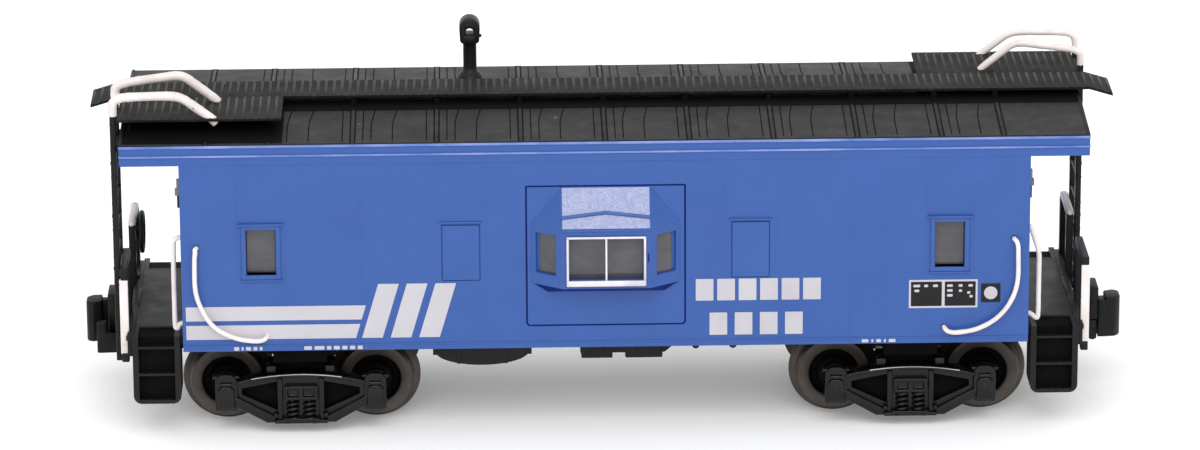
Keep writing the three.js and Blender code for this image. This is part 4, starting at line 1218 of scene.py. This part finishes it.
def underframe():
    shape = Shape("black", "shade_black")
    shape.box((-20.6, 20.6), (-5.95, 5.95), FLOOR_Z, 0.03)
    for half, low in ((11.1, 3.9), (SILL_X, 4.3)):
        shape.box((-half, half), (-SILL_Y, SILL_Y), (low, SILL_TOP_Z), 0.05)
    for x in (-10.5, -3.4, 3.4, 10.5):
        shape.box(about(x, 0.15), (-5.5, 5.5), (4.5, SILL_TOP_Z), 0.03)
    for side in (-1, 1):
        shape.box((-SILL_X, SILL_X), on(side, 5.2, 5.5), (4.62, SILL_TOP_Z), 0.03)
        equipment(shape, side)
    for end in (-1, 1):
        shape.rod(1.8, "z", (4.65, SILL_TOP_Z), (end * TRUCK_X, 0, 0), 40, 0.05)
        # Dark wings over each truck fill the gap above it: painted shade.
        for side in (-1, 1):
            for half, reach, low in ((1.38, (2.2, 5.5), 3.78), (1.8, (4.2, 5.4), 4.25)):
                wing = on(end, TRUCK_X - half, TRUCK_X + half)
                shape.box(wing, on(side, *reach), (low, FLOOR_LEDGE_Z), 0.06, "shade_black")
        shape.box(on(end, 17.4, 21.0), (-SILL_Y, SILL_Y), (4.62, SILL_TOP_Z), 0.04)
        end_platform(shape, end)
        coupler_box(shape, end)
    return shape


stand_in("underframe", underframe())


# ---- trucks
def coil(at, radius, wire_radius, z_span, turns):
    steps = 14 * turns
    points = []
    for i in range(steps + 1):
        angle = 2 * math.pi * turns * i / steps
        z = z_span[0] + (z_span[1] - z_span[0]) * i / steps
        points.append((at[0] + radius * math.cos(angle), at[1] + radius * math.sin(angle), z))
    return tube(points, wire_radius, 1, 8)


SIDEFRAME_Y = (4.75, 5.55)
# the sideframe's bolts: radius, how far out the head reaches, and its place
BOLTS = ((0.11, 5.9, 1.06, 2.95), (0.11, 5.86, 1.28, 1.05), (0.1, 5.86, 2.5, 2.86))


def top_chord(rise=0.0):
    """Points along the sideframe's arched top, raised by that much."""
    return [(x, 3.27 - 0.036 * x * x + rise) for x in [-3.35 + 6.7 * i / 16 for i in range(17)]]


def sideframe_outline():
    low = [(-1.5, 0.6), (1.5, 0.6), (3.2, 1.62), (3.35, 1.62)]
    return top_chord()[::-1] + [(-3.35, 1.62), (-3.2, 1.62)] + low


def sideframe(shape, side):
    ys = on(side, *SIDEFRAME_Y)
    frame_plate = prism(sideframe_outline(), "y", ys)
    tools = []
    for end in (-1, 1):
        opening = [(1.18, 1.22), (3.0, 2.1), (3.0, 2.42), (1.18, 2.78)]
        tools.append(prism([(end * x, z) for x, z in opening], "y", (ys[0] - 1, ys[1] + 1)))
    shape.take(carved(frame_plate, *tools), None, 0.05)
    chord = top_chord() + top_chord(-0.42)[::-1]
    # Dark webs behind the sideframe's openings: painted shade.
    for end in (-1, 1):
        web = [(end * 1.1, 1.2), (end * 3.1, 2.1), (end * 3.1, 2.5), (end * 1.1, 2.9)]
        shape.prism(web, "y", on(side, 4.85, 5.05), finish="shade_black")
    ribbed = [(x, z - 0.02 if z > 3.0 - 0.036 * x * x else z + 0.22) for x, z in chord]
    shape.prism(ribbed, "y", on(side, 5.4, 5.78), 0.05)
    # A bright line along the top chord: a painted highlight.
    worn = [Vector((x, side * 5.745, z - 0.05)) for x, z in top_chord()[3:15]]
    shape.take(tube(worn, 0.035, 1, 8), "worn")
    for end in (-1, 1):
        strut = [(1.35, 0.62), (1.75, 0.62), (3.5, 1.62), (3.5, 1.95), (3.2, 1.95), (1.3, 0.95)]
        shape.prism([(end * x, z) for x, z in strut], "y", on(side, 5.4, 5.74), 0.05)
        shape.box(on(end, 0.92, 1.2), on(side, 5.4, 5.72), (0.75, 3.0), 0.05)
        journal_box(shape, side, end)
        for radius, face, x, z in BOLTS:
            shape.rod(radius, "y", on(side, 5.5, face), (end * x, 0, z), 12, 0.03)
        shape.box(on(end, 1.25, 1.75), on(side, 5.0, 5.5), (3.2, 3.62), 0.06)
    bolster_end(shape, side)


def journal_box(shape, side, end):
    x = end * HALF_WHEELBASE
    outline = rounded(about(x, 0.56), (1.3, 3.22), (0.1, 0.1, 0.42, 0.42))
    case = prism(outline, "y", on(side, SIDEFRAME_Y[0], 5.72))
    pocket = lathe([(0, 0), (0.55, 0), (0.12, 0.74), (0, 0.74)], "y", (x, 4.7, AXLE_Z), 24)
    if side < 0:
        pocket = moved(pocket, Matrix.Diagonal((1, -1, 1, 1)))
    shape.take(carved(case, pocket), None, 0.06)
    lid = rounded(about(x, 0.42), (1.42, 2.62), (0.08, 0.08, 0.3, 0.3))
    shape.prism(lid, "y", on(side, 5.65, 5.88), 0.06)
    shape.rod(0.11, "x", about(x, 0.3), (0, side * 5.76, 2.72), 14, 0.03)
    shape.box(about(x, 0.12), on(side, 5.8, 5.9), (1.7, 2.3), 0.04)
    shape.box(about(x, 0.7), on(side, 5.1, 5.6), (2.95, 3.12), 0.05)


def bolster_end(shape, side):
    case = block((-0.85, 0.85), on(side, 5.0, 5.86), (1.86, 2.62))
    tools = []
    for x in (-0.4, 0.4):
        opening = rounded(about(x, 0.27), (2.02, 2.46), (0.08,) * 4)
        tools.append(prism(opening, "y", on(side, 5.62, 6.2)))
    shape.take(carved(case, *tools), None, 0.05)
    for x in (-0.42, 0.42):
        shape.take(coil((x, side * 5.55), 0.27, 0.085, (0.78, 1.84), 4))
        shape.rod(0.15, "z", (0.7, 1.9), (x, side * 5.55, 0), 12)
    shape.box((-1.36, 1.36), on(side, 5.1, 5.82), (0.58, 0.78), 0.06)
    shape.box((-0.95, 0.95), on(side, 5.2, 5.9), (0.74, 0.88), 0.04)
    for x in (-0.68, 0.68):
        shape.rod(0.08, "y", on(side, 5.7, 5.88), (x, 0, 0.67), 10, 0.02)


def truck_frame():
    shape = Shape("truck", "shade_black", "worn")
    bolster = block((-1.2, 1.2), (-5.0, 5.0), (1.3, 3.1))
    shape.take(carved(bolster, rod(0.62, "z", (0, 6), (0, 0, 0), 32)), None, 0.08)
    ring = [(0.62, 3.0), (1.6, 3.0), (1.6, 4.4), (1.5, 4.52), (0.7, 4.52), (0.62, 4.44)]
    shape.lathe(ring, "z", (0, 0, 0), 48)
    for side in (-1, 1):
        shape.box((-1.45, 1.45), on(side, 3.2, 4.1), (3.0, 3.35), 0.06)
        # A dark block inside the sideframe: painted shade.
        shape.box((-1.75, 1.75), on(side, 4.0, 4.8), (1.9, 3.68), 0.1, "shade_black")
        sideframe(shape, side)
    return shape


WHEEL_BACK_Y = 2.75
WHEEL_PROFILE = [
    (0.45, 0.0), (0.9, 0.0), (1.0, 0.06), (2.18, 0.02), (2.26, 0.06), (2.3, 0.14), (2.3, 0.2),
    (2.24, 0.29), (2.02, 0.36), (1.94, 0.42), (1.9, 0.5), (1.88, 1.08), (1.84, 1.15), (1.36, 1.15),
    (1.3, 1.1), (1.26, 0.72), (1.18, 0.62), (0.98, 0.62), (0.86, 0.7), (0.8, 1.0), (0.74, 1.06),
    (0.45, 1.06),
]
WHEEL_DISH = [
    (0.46, 0.6), (1.27, 0.6), (1.29, 1.02), (1.18, 0.66), (0.97, 0.66), (0.88, 0.74), (0.83, 1.02),
    (0.76, 1.09), (0.46, 1.09),
]
AXLE_HALF = [
    (0.36, 2.6), (0.43, 2.7), (0.43, 3.95), (0.4, 4.0), (0.4, 4.55), (0.36, 4.66), (0.06, 5.24),
    (0, 5.25),
]
AXLE_PROFILE = [(radius, -y) for radius, y in reversed(AXLE_HALF)] + [(0.33, 0)] + AXLE_HALF


def kingpin():
    shape = Shape("black")
    profile = [
        (0, 0.9), (0.85, 0.9), (0.95, 0.98), (0.95, 1.16), (0.5, 1.2), (0.5, 5.5), (0.44, 5.55), (0, 5.55)
    ]
    head = lathe(profile, "z", (0, 0, 0), 40)
    slot = block((-0.7, 0.7), (-0.1, 0.1), (0.5, 1.02))
    return shape.take(carved(head, slot))


for end, turned in ENDS:
    truck_x = -TRUCK_X if turned else TRUCK_X
    middle = (truck_x, 0, 0)
    stand_in(f"truck_frame_{end}", truck_frame(), turned, f"truck_{end}", middle)
    stand_in(f"kingpin_{end}", kingpin(), turned, at=middle)
    for place, way in (("outer", 1), ("inner", -1)):
        axle_at = (truck_x + math.copysign(HALF_WHEELBASE, truck_x) * way, 0, AXLE_Z)
        wheelset = f"wheelset_{end}_{place}"
        axle = Shape("steel").lathe(AXLE_PROFILE, "y", (0, 0, 0), 40)
        stand_in(f"axle_{end}_{place}", axle, False, wheelset, axle_at)
        for side, facing in (("far", 1), ("near", -1)):
            # The dish of each wheel is in painted shade.
            wheel = Shape("wheel", "shade_black")
            for profile, finish in ((WHEEL_PROFILE, "wheel"), (WHEEL_DISH, "shade_black")):
                faced = [(radius, facing * (WHEEL_BACK_Y + along)) for radius, along in profile]
                wheel.lathe(faced, "y", (0, 0, 0), 72, finish=finish)
            stand_in(f"wheel_{end}_{place}_{side}", wheel, False, wheelset, axle_at)


# ---- couplers
def shank(zs):
    bar = block((PIVOT_X - 0.4, 25.3), (-0.45, 0.45), zs)
    return carved(bar, rod(0.36, "z", (3, 6), (PIVOT_X, 0, 0), 24))


def coupler_jaw():
    shape = Shape("coupler")
    shape.take(shank((3.62, 4.08)), None, 0.04)
    shape.box((25.1, 25.6), (-1.2, 1.3), (3.05, 4.08), 0.07)
    horn = [(25.1, 0.5), (26.15, 0.72), (26.2, 0.85), (26.2, 1.3), (26.1, 1.36), (25.1, 1.3)]
    shape.prism(horn, "z", (3.0, 4.08), 0.06)
    lug = [(25.7, 0.64), (26.2, 0.75), (26.2, 1.35), (25.7, 1.33)]
    shape.prism(lug, "z", (3.98, 4.6), 0.05)
    shape.box((25.3, 25.52), (-0.9, 0.9), (2.92, 3.1), 0.03)
    return shape


def coupler_knuckle():
    shape = Shape("coupler")
    shape.take(shank((4.13, 4.6)), None, 0.04)
    shape.box((25.15, 25.65), (-1.25, 0.4), (4.13, 5.9), 0.07)
    shape.box((25.63, 26.1), (-1.3, -0.75), (3.2, 5.2), 0.05)
    tip = [(26.0, -1.3), (26.5, -1.25), (26.72, -1.05), (26.8, -0.85)]
    tip += [(26.8, -0.2), (26.68, 0.0), (26.45, 0.1), (26.0, -0.1)]
    shape.prism(tip, "z", (3.2, 5.35), 0.07)
    return shape


def coupler_lid():
    shape = Shape("coupler")
    shape.box(COUPLER_BOX_X, (-1.6, 1.6), (3.3, 3.46), 0.04)
    for y in (-1.1, 1.1):
        shape.rod(0.16, "z", (3.24, 3.4), (23.6, y, 0), 16, 0.03)
    shape.rod(0.34, "z", (3.22, 3.4), (PIVOT_X, 0, 0), 24, 0.04)
    return shape


def coupler_spring():
    points = []
    for i in range(61):
        angle = 2 * math.pi * i / 15
        points.append((21.27 + 0.4 * i / 60, 0.28 * math.cos(angle), 4.25 + 0.28 * math.sin(angle)))
    return Shape("steel").take(tube(points, 0.042, 1, 8))


for end, turned in ENDS:
    stand_in(f"coupler_jaw_{end}", coupler_jaw(), turned, f"coupler_{end}")
    stand_in(f"coupler_knuckle_{end}", coupler_knuckle(), turned, f"knuckle_{end}")
    stand_in(f"coupler_lid_{end}", coupler_lid(), turned)
    stand_in(f"coupler_spring_{end}", coupler_spring(), turned)


# ---- the weight, carried over from the frame
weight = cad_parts["weight"]
weight.data.materials.clear()
weight.data.materials.append(FINISH["steel"])


# ---- floor, light and camera
def stage_floor():
    m = Nodes("pale_floor")
    tint = m.mix(m.ramp(m.noise(60, 3), 0.3, 0.7), (0.94, 0.94, 0.94, 1), (0.92, 0.92, 0.92, 1))
    m.into("Base Color", tint)
    m.into("Roughness", 0.7)
    m.into("Specular IOR Level", 0.15)
    m.into("Emission Color", (1, 1, 1, 1))
    m.into("Emission Strength", 0.16)
    part = bmesh.new()
    bmesh.ops.create_grid(part, x_segments=1, y_segments=1, size=3000)
    floor = to_object(part, "floor")
    floor.data.transform(Matrix.Scale(MM, 4))
    floor.data.materials.append(m.material)


def outward(azimuth, elevation):
    """The way out from the car at that azimuth and elevation, in degrees."""
    a, e = math.radians(azimuth), math.radians(elevation)
    return Vector((math.sin(a) * math.cos(e), -math.cos(a) * math.cos(e), math.sin(e)))


def panel_light(name, azimuth, elevation, distance, width, height, radiance):
    """A soft panel that faces the car. The radiance is in units of the white surroundings."""
    out = outward(azimuth, elevation)
    data = bpy.data.lights.new(name, "AREA")
    data.shape = "RECTANGLE"
    data.size, data.size_y = width, height
    data.energy = radiance * math.pi * width * height
    light = bpy.data.objects.new(name, data)
    light.location = out * distance + Vector((0, 0, 9 * MM))
    light.rotation_euler = (-out).to_track_quat("-Z", "Y").to_euler()
    light.visible_camera = False
    bpy.context.scene.collection.objects.link(light)


def surroundings(strength):
    world = bpy.data.worlds.new("white_tent")
    world.use_nodes = True
    world.node_tree.nodes["Background"].inputs["Color"].default_value = (1, 1, 1, 1)
    world.node_tree.nodes["Background"].inputs["Strength"].default_value = strength
    bpy.context.scene.world = world


CAMERA_AZIMUTH = -1.276
CAMERA_ELEVATION = 17.736
CAMERA_ROLL = math.radians(-0.306)
CAMERA_TARGET = Vector((-0.135, 0, 9.206)) * MM
CAMERA_DISTANCE = 307.6 * MM
CAMERA_LENS = 178.431
CAMERA_SENSOR = 36


def camera():
    """A long lens, almost square on to the near side and a little above it."""
    out = outward(CAMERA_AZIMUTH, CAMERA_ELEVATION)
    data = bpy.data.cameras.new("camera")
    data.sensor_width = CAMERA_SENSOR
    data.lens = CAMERA_LENS
    data.clip_start, data.clip_end = 0.01, 20
    eye = bpy.data.objects.new("camera", data)
    right = (-out).cross(Vector((0, 0, 1))).normalized()
    up = right.cross(-out)
    tilted = right * math.cos(CAMERA_ROLL) + up * math.sin(CAMERA_ROLL)
    eye.matrix_world = Matrix((tilted, out.cross(tilted), out)).transposed().to_4x4()
    eye.location = CAMERA_TARGET + out * CAMERA_DISTANCE
    bpy.context.scene.collection.objects.link(eye)
    bpy.context.scene.camera = eye


stage_floor()
surroundings(strength=0.95)
panel_light("front_panel", azimuth=0, elevation=42, distance=0.6, width=0.55, height=0.34, radiance=3.2)
camera()
bpy.context.scene.view_settings.view_transform = "Standard"
